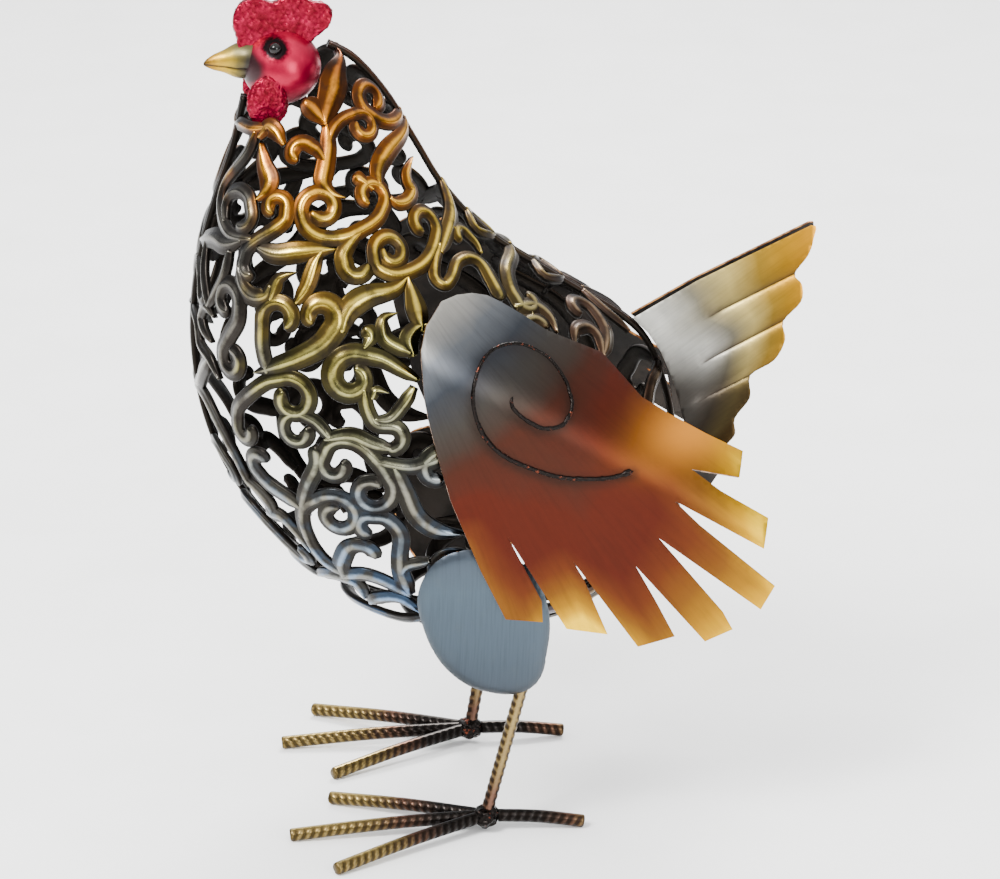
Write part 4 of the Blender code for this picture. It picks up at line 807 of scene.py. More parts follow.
def stroke_skin(places, widths, kinds, gap=1.1):
    """One scroll stroke with its ridge: a bulb where it curls, run in where it meets another, and
    drawn out to a point where it ends free."""
    path = fine_path(places, widths, gap)
    points = [form(angle, t) for angle, t, _ in path]
    run = [0.0]
    for a, b in zip(points, points[1:]):
        run.append(run[-1] + (b - a).length)
    rows, marks = [], []
    for i, (angle, t, width) in enumerate(path):
        point, before, after = points[i], points[max(i - 1, 0)], points[min(i + 1, len(points) - 1)]
        out = slopes(angle, t)[2]
        side = out.cross(ahead_at(points, i)).normalized()
        half = width / 2
        low = 1.0
        for kind, away in ((kinds[0], run[i]), (kinds[1], run[-1] - run[i])):
            if kind == "curl":
                half += (BULB - half) * smoothstep(1.45 - away / (2.2 * BULB))
            reach = max(half, 1.4)
            if kind == "leaf":
                half *= min(0.08 + away / (2.6 * reach + 3), 1.0) ** 0.8
            elif kind == "joint":
                half *= 0.6 + 0.4 * smoothstep(away / 6)
            elif away < reach:
                low = min(low, math.sqrt(max(1 - (1 - away / reach) ** 2, 0.03)))

        # in a tight bend the inner side is narrowed, so that it doesn't fold over itself
        inner = [half * low, half * low]
        if 0 < i < len(path) - 1:
            turn = side.dot((after - point).normalized() - (point - before).normalized())
            if abs(turn) > 1e-4:
                radius = (after - before).length / 2 / abs(turn)
                inner[turn > 0] = min(inner[turn > 0], 0.93 * radius)

        # the ridge is lower on thin strokes and at round ends; upper flanks are marked lighter and lower
        # flanks darker, a painted highlight and painted shade for light from above
        level = low ** 0.6 * min(1.0, 0.62 + half / 7)
        ring_points, ring_marks = [], []
        for across, high, mark in SECTION:
            wide = inner[across > 0] * across
            high = high * level if high > 0 else high
            ring_points.append((point + side * wide + out * high) * STEP)
            ring_marks.append((mark + 0.24 * side.z * across * (mark > 0.05)) * low ** 0.5)
        rows.append(ring_points)
        marks.append(ring_marks)
    return sweep(rows, marks)


def seam_skin():
    """The strip that edges one half at the seam, rounded on its outer face."""
    points = [form(*place) for place in seam_line(120, 140)]
    rows, marks = [], []
    for i, point in enumerate(points):
        ahead = ahead_at(points, i)
        out = Vector((0, ahead.z, -ahead.y))
        rows.append([(Vector((x, point.y, point.z)) + out * high) * STEP for x, high, _ in SEAM_SECTION])
        marks.append([mark for _, _, mark in SEAM_SECTION])
    return sweep(rows, marks)


def scrolls(paint):
    """The openwork body, a half on each side."""
    lines, ends = [], []
    for through, widths, start, end in STROKES:
        places = stroke_places(through, start, end)
        lines.append((places, [BOLD * w for w in share_widths(len(places), widths)]))
        ends.append((bool(start), bool(end)))
    skins = [stroke_skin(*line, kinds) for line, kinds in zip(lines, end_kinds(lines, ends))]
    edge = [(EDGE if angle == 0 else 180 - EDGE, t) for angle, t in seam_line(40, 44)][::2]
    for places, widths in links(lines + [(edge, [SEAM_STRIP] * len(edge))]):
        skins.append(stroke_skin(places, widths, ("joint", "joint"), 2.0))
    skins.append(seam_skin())
    whole = joined(skins)
    for vert in whole.verts:
        vert.co.x = max(vert.co.x, FIT / 2)
    pair("scrolls", whole, [paint], "body")


# Middle and half sizes of the head's ball, and the middle and radius of the left eye, in steps
HEAD = ((0, -99, 344.5), (16.5, 17.3, 16.6))
EYE = (11.4, -102.4, 355.4)
EYE_RADIUS = 2.9

# Cheek and brow: how far each swells, then its middle and reach along and up
SWELLINGS = [(0.7, (-93, 8), (340, 7)), (0.5, (-103, 6), (358.4, 1.6))]


def face(paint, eye_paint):
    """The enamelled face with brow, cheeks and sockets, and an eye on each side."""
    work = bmesh.new()
    bmesh.ops.create_uvsphere(work, u_segments=96, v_segments=64, radius=1.0)
    for vert in work.verts:
        way = vert.co.copy()
        place = Vector([c + r * w for c, r, w in zip(*HEAD, way)])
        flank = smoothstep((abs(place.x) - 5) / 5)
        apart = math.hypot(place.y - EYE[1], place.z - EYE[2])
        swell = 0.1 * bell(apart - 4.3, 1.0) - 0.4 * bell(apart, 3.0)
        for high, (y, long), (z, tall) in SWELLINGS:
            swell += high * bell(place.y - y, long) * bell(place.z - z, tall)
        place.x *= 1 - 0.16 * max(-way.y, 0) ** 3
        vert.co = (place + way.normalized() * (swell * flank - 0.15)) * STEP
    piece("face", work, [paint], ["head"])
    work = bmesh.new()
    bmesh.ops.create_uvsphere(work, u_segments=32, v_segments=20, radius=EYE_RADIUS * STEP)
    bmesh.ops.translate(work, verts=work.verts[:], vec=Vector(EYE) * STEP)
    pair("eye", work, [eye_paint], None)


def remeshed(work, size):
    """The same form with even small faces."""
    mesh = mesh_of("even", work)
    rough = placed("even", mesh)
    step = rough.modifiers.new("even", "REMESH")
    step.mode = "VOXEL"
    step.voxel_size = size
    graph = bpy.context.evaluated_depsgraph_get()
    fine = bpy.data.meshes.new_from_object(rough.evaluated_get(graph))
    made = bmesh.new()
    made.from_mesh(fine)
    bpy.data.objects.remove(rough)
    for old in (mesh, fine):
        bpy.data.meshes.remove(old)
    return made


PEBBLE = 0.0024           # how far apart the pebbles of the comb and wattles are, in metres


def pebble(work, depth):
    """Raises pebbles all over a mesh, with a mark on their tops where a highlight is painted."""
    ridge = work.verts.layers.float.get("ridge") or work.verts.layers.float.new("ridge")
    work.normal_update()
    for vert in work.verts:
        place = vert.co / 0.003
        bent = vert.co + 0.0006 * Vector([noise.noise(place + Vector((k, 0, 0))) for k in (0, 50, 100)])
        near, second = noise.voronoi(bent / PEBBLE)[0][:2]
        rough = 0.5 + 0.5 * noise.turbulence(vert.co / 0.0022, 3, False)
        level = 0.5 * smoothstep((second - near) / 0.8) + 0.5 * min(max(rough, 0.0), 1.0)
        vert.co += vert.normal * depth * (level - 0.75)
        vert[ridge] = level


# Comb outline, length and height, its thickness, and its foot and height, in steps
COMB = [(-118.6, 352), (-118.6, 357.5), (-120.2, 363.5), (-119.2, 370.0), (-115, 374.6), (-108, 375.4),
        (-102.5, 373.6), (-97, 376.0), (-90, 375.6), (-85.5, 373.6), (-80, 372.6), (-76.2, 368.2),
        (-78.0, 361.8), (-83.5, 357.2), (-88, 352)]
COMB_THICKNESS = 7
COMB_FOOT, COMB_HEIGHT = 352, 24


def comb(paint):
    """The comb, a pebbled casting with rounded lobes, thicker at its foot."""
    rows = [np.array(p, float) for p in COMB]
    line = [catmull(rows, i / 5) for i in range(5 * (len(rows) - 1) + 1)]
    x = -COMB_THICKNESS / 2
    work = bmesh.new()
    flat = work.faces.new([work.verts.new((x * STEP, y * STEP, z * STEP)) for y, z in line])
    made = bmesh.ops.extrude_face_region(work, geom=[flat])["geom"]
    verts = [g for g in made if isinstance(g, bmesh.types.BMVert)]
    bmesh.ops.translate(work, verts=verts, vec=(COMB_THICKNESS * STEP, 0, 0))
    rims = [e for e in work.edges if abs(e.verts[0].co.x - e.verts[1].co.x) < 1e-6]
    bmesh.ops.bevel(work, geom=rims, offset=2.2 * STEP, segments=4, profile=0.5, affect="EDGES",
                    material=-1)
    bmesh.ops.recalc_face_normals(work, faces=work.faces[:])
    work = remeshed(work, 0.00055)
    for vert in work.verts:
        high = (vert.co.z / STEP - COMB_FOOT) / COMB_HEIGHT
        vert.co.x *= 1.12 - 0.45 * high
    bmesh.ops.smooth_vert(work, verts=work.verts[:], factor=0.5, use_axis_x=True, use_axis_y=True,
                          use_axis_z=True)
    pebble(work, 0.8 * STEP)
    piece("comb_pebbled", work, [paint], ["comb"])


# Middle and half sizes of the left wattle, in steps
WATTLE = ((15.2, -106.4, 333.1), (3.1, 9.3, 11.4))


def wattles(paint):
    """A pebbled wattle on each side of the throat."""
    work = bmesh.new()
    bmesh.ops.create_icosphere(work, subdivisions=6, radius=1.0)
    for vert in work.verts:
        way = vert.co.copy()
        way.y *= 1.0 - 0.12 * way.z
        vert.co = Vector([c + r * w for c, r, w in zip(*WATTLE, way)]) * STEP
    pebble(work, 0.9 * STEP)
    pair("wattle_pebbled", work, [paint], "wattle")


# Beak from root to tip: length, height of its middle, half width and half height, in steps
BEAK = [(-108, 347.6, 7.4, 8.6), (-114, 347.6, 6.9, 8.3), (-119, 347.4, 5.3, 7.4), (-124, 347.3, 3.6, 5.0),
        (-128.5, 347.0, 2.2, 3.4), (-131.6, 346.7, 1.1, 1.7), (-132.9, 346.4, 0.35, 0.5)]
MOUTH = (-114, 345.0, 0.07)   # a place on the line of the mouth and how fast it rises to the tip


def beak(paint):
    """The beak with the line of the mouth, its upper part lapping over the lower."""
    rows, marks = [], []
    table = [np.array(r, float) for r in BEAK]
    for i in range(12 * (len(table) - 1) + 1):
        y, z, wide, high = catmull(table, i / 12)
        mouth = MOUTH[1] + (MOUTH[0] - y) * MOUTH[2]
        row, mark = [], []
        for k in range(40):
            turn = 2 * math.pi * k / 40
            up = z + high * math.cos(turn)
            slit = bell(up - mouth, 0.55)
            lap = 1.04 if up > mouth else 0.95
            crest = 1 + 0.05 * max(math.cos(turn), 0) ** 8
            across = wide * math.sin(turn) * lap * (1 - 0.16 * slit)
            row.append(Vector((across, y, z + (up - z) * crest)) * STEP)
            mark.append(1 - slit)
        rows.append(row)
        marks.append(mark)
    piece("beak_horn", sweep(rows, marks), [paint], ["beak"], 50)


# Wing sheet: how far out it would be at the hen's middle, how it leans in along and up, and the
# line beyond which it bends in: a place on it, its direction across, and how strongly it bends
WING_OUT = 86.7 + (RELIEF + FIT + SHEET * 1.5) / STEP
WING_LEAN = (0.0835, 0.059)
BEND_FROM = (-60.0, 235.0)
BEND_WAY = (0.519, 0.855)
BEND = 0.0178


def wing_across(y, z):
    """Middle of the wing sheet: flared over the thigh, bent in over the back, in steps."""
    above = (y - BEND_FROM[0]) * BEND_WAY[0] + (z - BEND_FROM[1]) * BEND_WAY[1]
    return WING_OUT - WING_LEAN[0] * y - WING_LEAN[1] * z - BEND * max(above, 0.0) ** 2


MISS = 0.013              # keeps the cuts of a sheet from running through its corners, in steps
RIM = 0.0003              # bevel along the edge of a sheet, in metres


def bent_sheet(corners, across, pitch, marks, extra=()):
    """A bent sheet: the outline cut into small fields, bent, and given its thickness and rim."""
    work = bmesh.new()
    work.faces.new([work.verts.new((0, y, z)) for y, z in corners])
    cuts = list(extra)
    for axis in (0, 1):
        values = [c[axis] for c in corners]
        for i in range(1, int((max(values) - min(values)) / pitch) + 1):
            point, way = [0, 0, 0], [0, 0, 0]
            point[axis + 1] = min(values) + i * pitch - MISS
            way[axis + 1] = 1
            cuts.append((point, way))
    for point, way in cuts:
        geometry = work.verts[:] + work.edges[:] + work.faces[:]
        bmesh.ops.bisect_plane(work, geom=geometry, dist=0.01, plane_co=point, plane_no=way)
    bmesh.ops.triangulate(work, faces=[f for f in work.faces if len(f.verts) > 4])
    along, soot, warm = [work.verts.layers.float.new(name) for name in ("along", "soot", "warm")]
    brush = work.verts.layers.float_vector.new("brush")
    for vert in work.verts:
        y, z = vert.co.y, vert.co.z
        vert[along], vert[soot], vert[warm], vert[brush] = marks(y, z)
        vert.co.x = across(y, z)
    bmesh.ops.scale(work, vec=(STEP, STEP, STEP), verts=work.verts[:])
    for flat in work.faces:
        flat.normal_update()
        if flat.normal.x < 0:
            flat.normal_flip()
    work.normal_update()
    for vert in work.verts:
        vert.co += vert.normal * SHEET / 2
    bmesh.ops.solidify(work, geom=work.faces[:], thickness=SHEET)
    work.normal_update()

    # material 0 is the outer side, 1 the cut edge and 2 the side toward the body
    rims = set()
    for flat in work.faces:
        middle = flat.calc_center_median() / STEP
        slope_y = across(middle.y + 0.5, middle.z) - across(middle.y - 0.5, middle.z)
        slope_z = across(middle.y, middle.z + 0.5) - across(middle.y, middle.z - 0.5)
        facing = flat.normal.dot(Vector((1, -slope_y, -slope_z)).normalized())
        if abs(facing) < 0.45:
            rims.add(flat)
            flat.material_index = 1
        elif facing < 0:
            flat.material_index = 2
    edges = [e for e in work.edges
             if len(e.link_faces) == 2 and (e.link_faces[0] in rims) != (e.link_faces[1] in rims)]
    bmesh.ops.bevel(work, geom=edges, offset=RIM, segments=2, profile=0.5, affect="EDGES", material=1,
                    clamp_overlap=True)
    return work


# How far each direction from the hub reaches, how soon its feather turns gold and how bright it gets
FANS = [(340, 70, 2.8, 0.56), (360, 99, 2.8, 0.56), (375, 110, 3.4, 1.25), (388, 128, 3.0, 0.6),
        (398, 143, 2.6, 0.92), (409, 146.6, 2.2, 0.88), (418, 129, 1.9, 1.05), (428, 107.5, 2.1, 0.98),
        (442, 60, 1.6, 0.4)]
GREY = 0.42               # share of the wing's colours that its shoulder takes up
HIGHLIGHT_SPOT = ((73, 21), (189, 11))    # middle and reach, along and up, of the painted warm highlight on the top feather
BRUSHED_FROM = (-75.0, 300.0)    # the middle of the arcs in which the wing is brushed


def spiral_points():
    """Places of the run of weld, length and height, close together."""
    rows = [np.array(p, float) for p in SPIRAL]
    return [Vector((*from_hub(*catmull(rows, i / 26)), 0)) for i in range(26 * (len(rows) - 1) + 1)]


def wing_marks(spiral):
    """What gives each place of the wing its colour, its soot and painted shadow, and its place along the
    brushing.
    """
    tree = tree_of(spiral)
    fans = np.array(FANS, float)

    def marks(y, z):
        """The marks of one place: grey at the shoulder, lighter toward its top partly as a painted sheen,
        copper below, gold at the feathers' ends, and a painted warm highlight where the topmost feather
        leaves the wing."""
        down = 0.53 * (y + 6.0) - 0.85 * (z - 198.0)
        reach = math.hypot(y - HUB[0], z - HUB[1])
        turn = math.degrees(math.atan2(y - HUB[0], HUB[1] - z)) % 360
        turn += 360 if turn < 120 else 0
        full, early, bright = [np.interp(turn, fans[:, 0], fans[:, k]) for k in (1, 2, 3)]
        gold = bright * min(reach / full, 1.0) ** early * smoothstep(down / 25)
        along = GREY + (1 - GREY) * gold if down > 0 else GREY * (1 + max(down, -70) / 70)
        # darker just below the run of weld, more so low on the wing: soot from the weld and the bead's
        # painted shadow
        apart = tree.find(Vector((y + 0.8, z + 1.2, 0)))[2]
        soot = 0.75 * bell(apart, 2.6) * (0.45 + 0.55 * smoothstep((225 - z) / 25))
        warm = 0.75 * bell(y - HIGHLIGHT_SPOT[0][0], HIGHLIGHT_SPOT[0][1]) * bell(z - HIGHLIGHT_SPOT[1][0], HIGHLIGHT_SPOT[1][1])
        far = (y - BRUSHED_FROM[0], z - BRUSHED_FROM[1])
        return along, soot, warm, (math.atan2(far[1], far[0]) * 90, math.hypot(*far) / 30, 0)

    return marks


def wings(paints, weld_paint):
    """The sheet wings with their cut feathers and the run of weld that curls on each."""
    spiral = spiral_points()
    work = bent_sheet(wing_outline(), wing_across, 2.6, wing_marks(spiral))
    pair("wing_sheet", work, paints, "wing", 40)
    path = []
    for p in spiral:
        point = Vector((wing_across(p.x, p.y) + SHEET / STEP / 2 + 0.25, p.x, p.y))
        if not path or (point - path[-1]).length > 0.5:
            path.append(point)
    skin = []
    for i, point in enumerate(path):
        ahead = ahead_at(path, i)
        side = Vector((1, 0.08, 0.06)).cross(ahead).normalized()
        up = ahead.cross(side)

        # the run is made of drops, larger in its lower part, thin at its ends, with a last round drop
        drop = 0.5 + 0.5 * noise.noise(Vector((i * 0.31, 0, 0)))
        drop += 0.3 * noise.noise(Vector((i * 0.9, 5, 0)))
        size = 0.7 + (0.25 if point.z > 205 else 0.55) * max(drop, 0.1)
        size *= smoothstep(0.3 + i / 6) * smoothstep(0.3 + (len(path) - 1 - i) / 6)
        if len(path) - 9 < i < len(path) - 2:
            size = 1.5
        wander = side * 0.25 * noise.noise(Vector((i * 0.2, 9, 0)))
        skin.append([(point + wander + side * size * math.cos(a) + up * size * 0.85 * math.sin(a)) * STEP
                     for a in np.linspace(0, 2 * math.pi, 10, endpoint=False)])
    weld = sweep(skin, [[1.0] * 10] * len(skin))
    pair("wing_weld", weld, [weld_paint], None)


def tail_outline():
    """Corners of a tail sheet, its lobes rounded and its root along the body's back."""
    rows = [np.array(p, float) for p in TAIL]
    line = [tuple(rows[0]), tuple(rows[1])]
    line += [tuple(catmull(rows, 2 + i / 4)) for i in range(4 * (len(rows) - 3) + 1)]
    clear = (RELIEF + FIT) / STEP + 1.0
    return line + [(back_at(z) + clear, z) for z in TAIL_ROOT]


def back_at(height):
    """How far back the body reaches at a height, in steps."""
    low, high = 0.5, 13.5
    while high - low > 1e-4:
        middle = (low + high) / 2
        if ring(middle)[0] < height:
            low = middle
        else:
            high = middle
    return float(ring(low)[2])


def groove_places(y, z):
    """How far a place is below each groove and how far along it."""
    for (y0, z0), (y1, z1) in GROOVES:
        length = math.hypot(y1 - y0, z1 - z0)
        off = ((y - y0) * (z1 - z0) - (z - z0) * (y1 - y0)) / length
        yield off, ((y - y0) * (y1 - y0) + (z - z0) * (z1 - z0)) / length


def tail_across(y, z):
    """Middle of the tail sheet: a slant from the ridge, its feathers pressed in at each groove."""
    below = (y - 57.0) * 0.434 - (z - 231.5) * 0.901
    dent = 0.0
    for off, run in groove_places(y, z):
        wide = 1.6 if off > 0 else 3.2
        dent = max(dent, math.exp(-abs(off) / wide) * smoothstep((run + 2) / 14))
    return 1.3 + 0.33 * below - GROOVE_DEPTH * dent


# Ends of the tail's feathers: how high across the feathers, how far along them
TAIL_TIPS = [(88, 177), (92, 195), (106.5, 225), (120, 244), (141.5, 263.4)]
TAIL_WAY = (0.819, 0.574)        # the way in which the tail's feathers lie, along and up


def tail_marks(y, z):
    """What gives each place of the tail its colour, its painted shade and its place along the brushing."""
    along, across = TAIL_WAY[0] * y + TAIL_WAY[1] * z, TAIL_WAY[0] * z - TAIL_WAY[1] * y
    tips = np.array(TAIL_TIPS, float)
    left = np.interp(across, tips[:, 0], tips[:, 1]) - along
    gold = max(1.0 - max(left, 0.0) / (50 + 30 * smoothstep((across - 118) / 22)), 0.0)
    gold *= 0.72 + 0.28 * smoothstep((across - 92) / 40)
    # painted shade: darker on the lower feathers and low on the sheet where it turns under, and a painted
    # shadow along the upper side of each groove
    soot = max(0.45 * smoothstep((134 - across) / 32), 0.94 * smoothstep((225 - z) / 33))
    for off, run in groove_places(y, z):
        fade = smoothstep((run + 3) / 6)
        wide = 0.8 if off > 0 else 7.0
        soot = max(soot, 0.97 * fade * math.exp(-abs(off) / wide))
    return gold, soot, 0, (across / 1.1, along / 26, 0)


def tail(paints):
    """Two tail sheets, leaning together at the top, with pressed grooves between the feathers."""
    extra = []
    for (y0, z0), (y1, z1) in GROOVES:
        way = Vector((0, z0 - z1, y1 - y0)).normalized()
        for shift in (-1.2, -0.5, 0.0, 0.4, 1.0, 2.0, 3.4):
            extra.append(((0, y0 + way.y * shift, z0 + way.z * shift), way))
    work = bent_sheet(tail_outline(), tail_across, 2.0, tail_marks, extra)
    pair("tail_sheet", work, paints, "tail", 40)


# Thigh outline round its middle: distance at even angles from straight up toward the tail
THIGH_MIDDLE = (-18.5, 109.0)
THIGH = [37, 33, 29, 28.6, 32.5, 42.5, 36.5, 29.5, 26, 27, 33.5, 39]
THIGH_TOP, THIGH_HEIGHT = 146, 77      # where it begins above and how long it is, in steps
THIGH_DOME = 6.5          # how far the thigh is domed outward, in steps


def thigh_reach(turn):
    """Distance from the thigh's middle to its edge in a direction."""
    rows = [np.array([v], float) for v in THIGH]
    place = (turn / (2 * math.pi)) * len(THIGH) % len(THIGH)
    wrapped = rows[-2:] + rows + rows[:2]
    return float(catmull(wrapped, place + 2)[0])


def thigh_share(y, z):
    """How far a place is from the thigh's middle, as a share of the way to its edge."""
    away = (y - THIGH_MIDDLE[0], z - THIGH_MIDDLE[1])
    return math.hypot(*away) / thigh_reach(math.atan2(*away))


def thigh_across(y, z):
    """Middle of the thigh sheet, domed outward."""
    dome = THIGH_DOME * math.sqrt(max(1 - min(thigh_share(y, z), 0.995) ** 2.4, 0.0))
    return 76.1 + (RELIEF + FIT + SHEET / 2) / STEP - 0.25 * (THIGH_TOP - z) + dome


def thigh_marks(y, z):
    """What gives each place of a thigh its colour, its darkening toward the edge and its place along the
    brushing.
    """
    soot = 0.3 * smoothstep((thigh_share(y, z) - 0.84) / 0.2)
    return (THIGH_TOP - z) / THIGH_HEIGHT, soot, 0, (y / 0.9, z / 26, 0)


def thighs(paints):
    """The domed thigh sheets."""
    corners = []
    for i in range(72):
        turn = 2 * math.pi * i / 72
        reach = thigh_reach(turn)
        corners.append((THIGH_MIDDLE[0] + reach * math.sin(turn), THIGH_MIDDLE[1] + reach * math.cos(turn)))
    work = bent_sheet(corners, thigh_across, 1.9, thigh_marks)
    pair("thigh_sheet", work, paints, "thigh", 45)


# Ankle, knee and toe tips of the left foot, and how far the right one is stepped, in steps
ANKLE = Vector((53.0, -16.0, ROD / STEP / 2 + 4))
ANKLE_WELD = ROD / STEP + 0.6
KNEE = Vector((58.6 + (RELIEF - ROD / 2) / STEP, 2.2, 80.0))
RIGHT_FOOT = Vector((7.0, 3.5, 0.0))
TOE_TIPS = {"toe_middle": (55.1, -104.5), "toe_outer": (93.0, -87.0), "toe_inner": (16.6, -83.5),
            "toe_back": (55.0, 28.5)}

RIB_PITCH = 3.9           # from one rib of the bar to the next, in steps
RIB_HEIGHT = 0.36         # how far the ribs stand out, in steps
ROD_SIDES = 20
ROD_GAP = 0.42            # gap between the rings of points along a bar, in steps


def ribbed_rod(points, twist):
    """A bar with slanting ribs run round it, cut straight at its ends."""
    rows = [np.array(p, float) for p in points]
    path = []
    for i in range(len(rows) - 1):
        count = max(round(float(np.linalg.norm(rows[i + 1] - rows[i])) / ROD_GAP), 1)
        path += [Vector(catmull(rows, i + k / count)) for k in range(count)]
    path.append(Vector(rows[-1]))
    skin, marks, run = [], [], 0.0
    for i, point in enumerate(path):
        ahead = ahead_at(path, i)
        up = Vector((0, 0, 1)) if abs(ahead.z) < 0.7 else Vector((1, 0, 0))
        side = ahead.cross(up).normalized()
        high = side.cross(ahead).normalized()
        run += (point - path[i - 1]).length if i else 0.0
        end = min(i, len(path) - 1 - i)
        row, mark = [], []
        for k in range(ROD_SIDES):
            # slanting ribs, and the long seam on each side where the rolls met
            turn = 2 * math.pi * k / ROD_SIDES
            wave = math.sin(2 * math.pi * run / RIB_PITCH + 2 * turn * twist)
            rib = 0.75 * smoothstep(0.5 + 0.7 * wave)
            rib = max(rib, smoothstep((abs(math.cos(turn)) - 0.86) / 0.12))
            size = ROD / STEP / 2 - RIB_HEIGHT * (1 - rib)
            size *= (0.8, 0.95)[end] if end < 2 else 1.0
            row.append((point + side * size * math.sin(turn) + high * size * math.cos(turn)) * STEP)
            mark.append(rib if end > 1 else 0.3)
        skin.append(row)
        marks.append(mark)
    return sweep(skin, marks)


def toned(work, tone_at):
    """Marks how far each place is from the dark at the ankle weld, from 0 to 1."""
    tone = work.verts.layers.float.new("tone")
    for vert in work.verts:
        vert[tone] = tone_at(vert.co / STEP)
    return work


def stepped(work):
    """The right foot stands a little in and back from where a mirror would put it."""
    for vert in work.verts:
        share = (KNEE.z * STEP - vert.co.z) / ((KNEE.z - ANKLE.z) * STEP)
        vert.co += RIGHT_FOOT * STEP * min(max(share, 0.0), 1.0)
    return work


def stood(name, work, paint, node):
    """A piece of the left foot and the same piece of the right one."""
    other = stepped(mirrored(work))
    piece(f"{name}_left", work, [paint], [f"{node}_left"])
    piece(f"{name}_right", other, [paint], [f"{node}_right"])


def feet(paint, weld_paint):
    """Legs and toes of ribbed bar, and the lump of weld that joins them at each ankle."""
    upward = (KNEE - ANKLE).normalized()
    leg = ribbed_rod([ANKLE + upward * 3.5, (ANKLE + KNEE) / 2, KNEE], 1)
    leg = toned(leg, lambda p: 0.42 + 0.24 * smoothstep((p.z - 12) / 24))
    stood("leg_bar", leg, paint, "leg")
    ground = ROD / STEP / 2
    for name, tip in TOE_TIPS.items():
        tip = Vector((*tip, ground))
        flat = Vector((tip.x - ANKLE.x, tip.y - ANKLE.y, 0))
        base = ANKLE + flat.normalized() * (ANKLE_WELD + FIT / STEP)
        points = []
        for share in (-0.04, 0.0, 0.15, 0.3, 0.46, 0.62, 0.81, 1.0):
            place = base + (tip - base) * share
            along = max(share, 0.0)
            place.z = ground + (ANKLE.z - ground) * (1 - along) ** 1.5 + 1.4 * math.sin(math.pi * along)
            points.append(place)
        twist = -1 if name == "toe_inner" else 1
        toe = toned(ribbed_rod(points, twist), lambda p: 0.85 * smoothstep(((p - ANKLE).length - 8) / 60))
        stood(name.replace("toe", "toe_bar"), toe, paint, name)
    work = bmesh.new()
    bmesh.ops.create_icosphere(work, subdivisions=5, radius=1.0)
    for vert in work.verts:
        way = vert.co.copy()
        lump = 0.9 + 0.22 * noise.noise(way * 1.7 + Vector((4, 0, 0))) + 0.1 * noise.noise(way * 4.3)
        way = way * Vector((1.0, 1.02, 0.84))
        vert.co = (ANKLE + way * ANKLE_WELD * lump) * STEP
    stood("ankle_weld", work, weld_paint, "weld")


def plaster():
    """Matt white studio board with faint clouds."""
    made, tree, shader, place = finish_of("studio_board", 0.0, Roughness=0.9)
    cloud = add(tree, "TexNoise", {}, {"Vector": place, "Scale": MM / 60, "Detail": 2.0})
    base = add(tree, "Mix", MIX, {0: cloud, 6: srgb("F4F4F2"), 7: srgb("FFFFFF")}, 2)
    plug(tree, shader, Base_Color=base)
    return made


# Square lamps: name, place, width in metres and watts, all turned to the hen's middle
LAMPS = [("key", (1.0, -1.1, 1.7), 0.7, 75), ("fill", (1.7, 0.7, 0.8), 0.8, 22),
         ("rim", (-1.2, 0.3, 1.6), 0.7, 40)]
HEN_MIDDLE = Vector((0, -0.02, 0.18))
SKY = [(0.0, "76787C"), (0.25, "8C8E92"), (0.75, "FFFFFF")]
SKY_STRENGTH = 2.4

# Camera: degrees round from the front and up, its distance, and where it looks, in metres
CAMERA_TURN, CAMERA_RISE = 83.5, 20
CAMERA_AWAY = 2.1
LOOK_HEIGHT, LOOK_LEFT = 0.1676, 0.0034


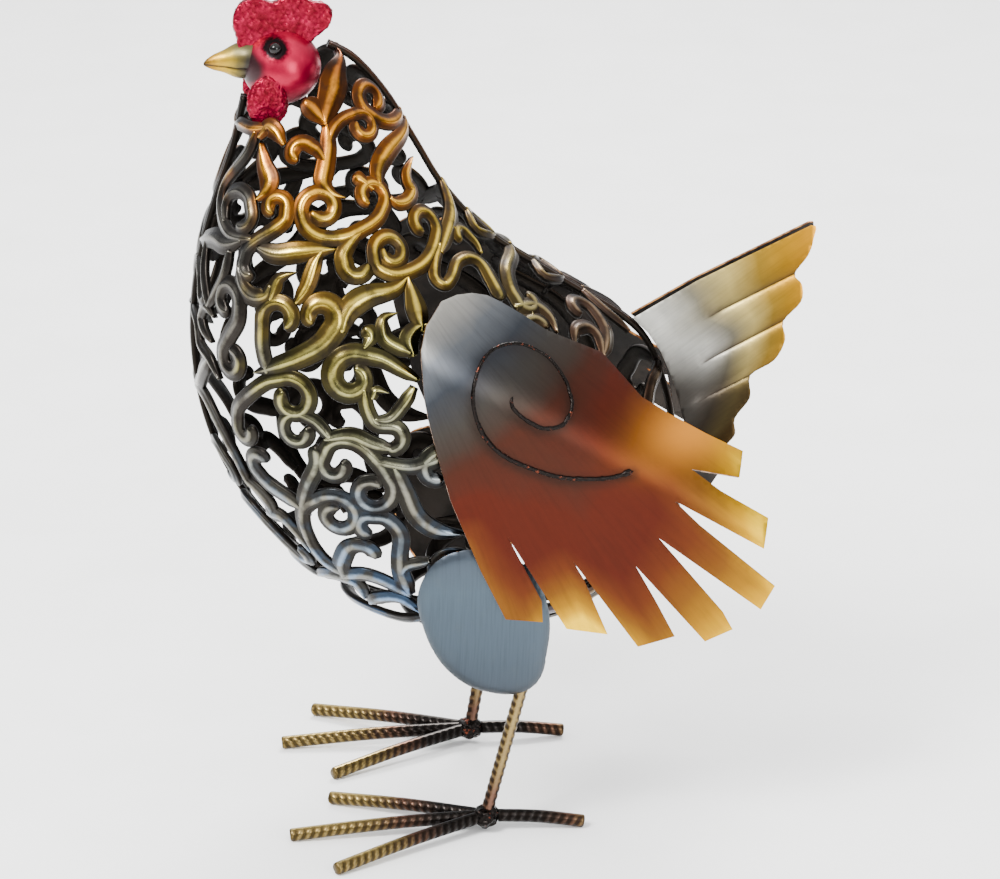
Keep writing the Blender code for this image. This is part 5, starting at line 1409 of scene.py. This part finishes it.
def studio():
    """Pale floor, an even bright sky, soft lights and the camera at the photograph's angle."""
    work = bmesh.new()
    bmesh.ops.create_grid(work, x_segments=2, y_segments=2, size=12.0)
    mesh = mesh_of("floor", work)
    mesh.materials.append(plaster())
    floor = placed("floor", mesh)
    world = bpy.data.worlds.new("studio")
    bpy.context.scene.world = world
    world.use_nodes = True
    tree = world.node_tree
    sky = tree.nodes["Background"]
    way = add(tree, "TexCoord", {}, {}, "Generated")
    high = add(tree, "SeparateXYZ", {}, {0: way}, "Z")
    tree.links.new(add(tree, "ValToRGB", {"stops": SKY}, {0: high}), sky.inputs["Color"])
    sky.inputs["Strength"].default_value = SKY_STRENGTH
    for name, place, size, power in LAMPS:
        lamp = bpy.data.lights.new(name, "AREA")
        lamp.shape = "SQUARE"
        lamp.size = size
        lamp.energy = power
        made = placed(name, lamp)
        made.location = place
        made.rotation_euler = (Vector(place) - HEN_MIDDLE).to_track_quat("Z", "Y").to_euler()
    turn, rise = math.radians(CAMERA_TURN), math.radians(CAMERA_RISE)
    away = Vector((math.sin(turn) * math.cos(rise), -math.cos(turn) * math.cos(rise), math.sin(rise)))
    right = Vector((math.cos(turn), math.sin(turn), 0))
    eye = bpy.data.cameras.new("camera")
    eye.lens = 168
    eye.sensor_width = 36
    camera = placed("camera", eye)
    camera.location = Vector((0, 0, LOOK_HEIGHT)) + away * CAMERA_AWAY - right * LOOK_LEFT
    camera.rotation_euler = away.to_track_quat("Z", "Y").to_euler()
    bpy.context.scene.camera = camera


# Lacquer of the sheets: the wing from shoulder to feather ends, the tail from root to tips, the
# thigh from top to bottom
# the wing's light grey at the top of its shoulder is partly a painted sheen
WING_STOPS = [(0.0, "9A9890"), (0.07, "84827D"), (0.14, "55585C"), (0.22, "2F3237"), (0.3, "34312E"),
              (0.36, "342B26"), (0.41, "3A221B"), (0.47, "471F17"), (0.56, "471E16"), (0.65, "552B18"),
              (0.75, "6A431A"), (0.84, "8A6016"), (0.92, "B28208"), (1.0, "E4B602")]
# the tail's darker second stop is partly painted shade where its grooves begin
TAIL_STOPS = [(0.0, "DAD8CE"), (0.24, "8C8672"), (0.46, "D6BE70"), (0.66, "A8842C"), (0.84, "BE8A18"),
              (1.0, "CC8E10")]
THIGH_STOPS = [(0.0, "424A53"), (0.25, "48545E"), (0.6, "46515B"), (1.0, "424A53")]


def dress():
    """Everything, piece by piece."""
    # the back of each sheet is painted dark as shade
    rubbed, weld, inner = bare_and_lit_edge(), weld_bead(), shaded_back()
    scrolls(scroll_lacquer())
    face(face_enamel(), eye_gloss())
    pebbled = comb_enamel()
    comb(pebbled)
    wattles(pebbled)
    beak(beak_enamel())
    wings([lacquered("copper_lacquered_sheet", WING_STOPS, 0.34), rubbed, inner], weld)
    tail([lacquered("gold_lacquered_sheet", TAIL_STOPS, 0.32), rubbed, inner])
    thighs([lacquered("blued_satin_sheet", THIGH_STOPS, 0.4), rubbed, inner])
    feet(rib_brass(), weld)
    studio()


dress()
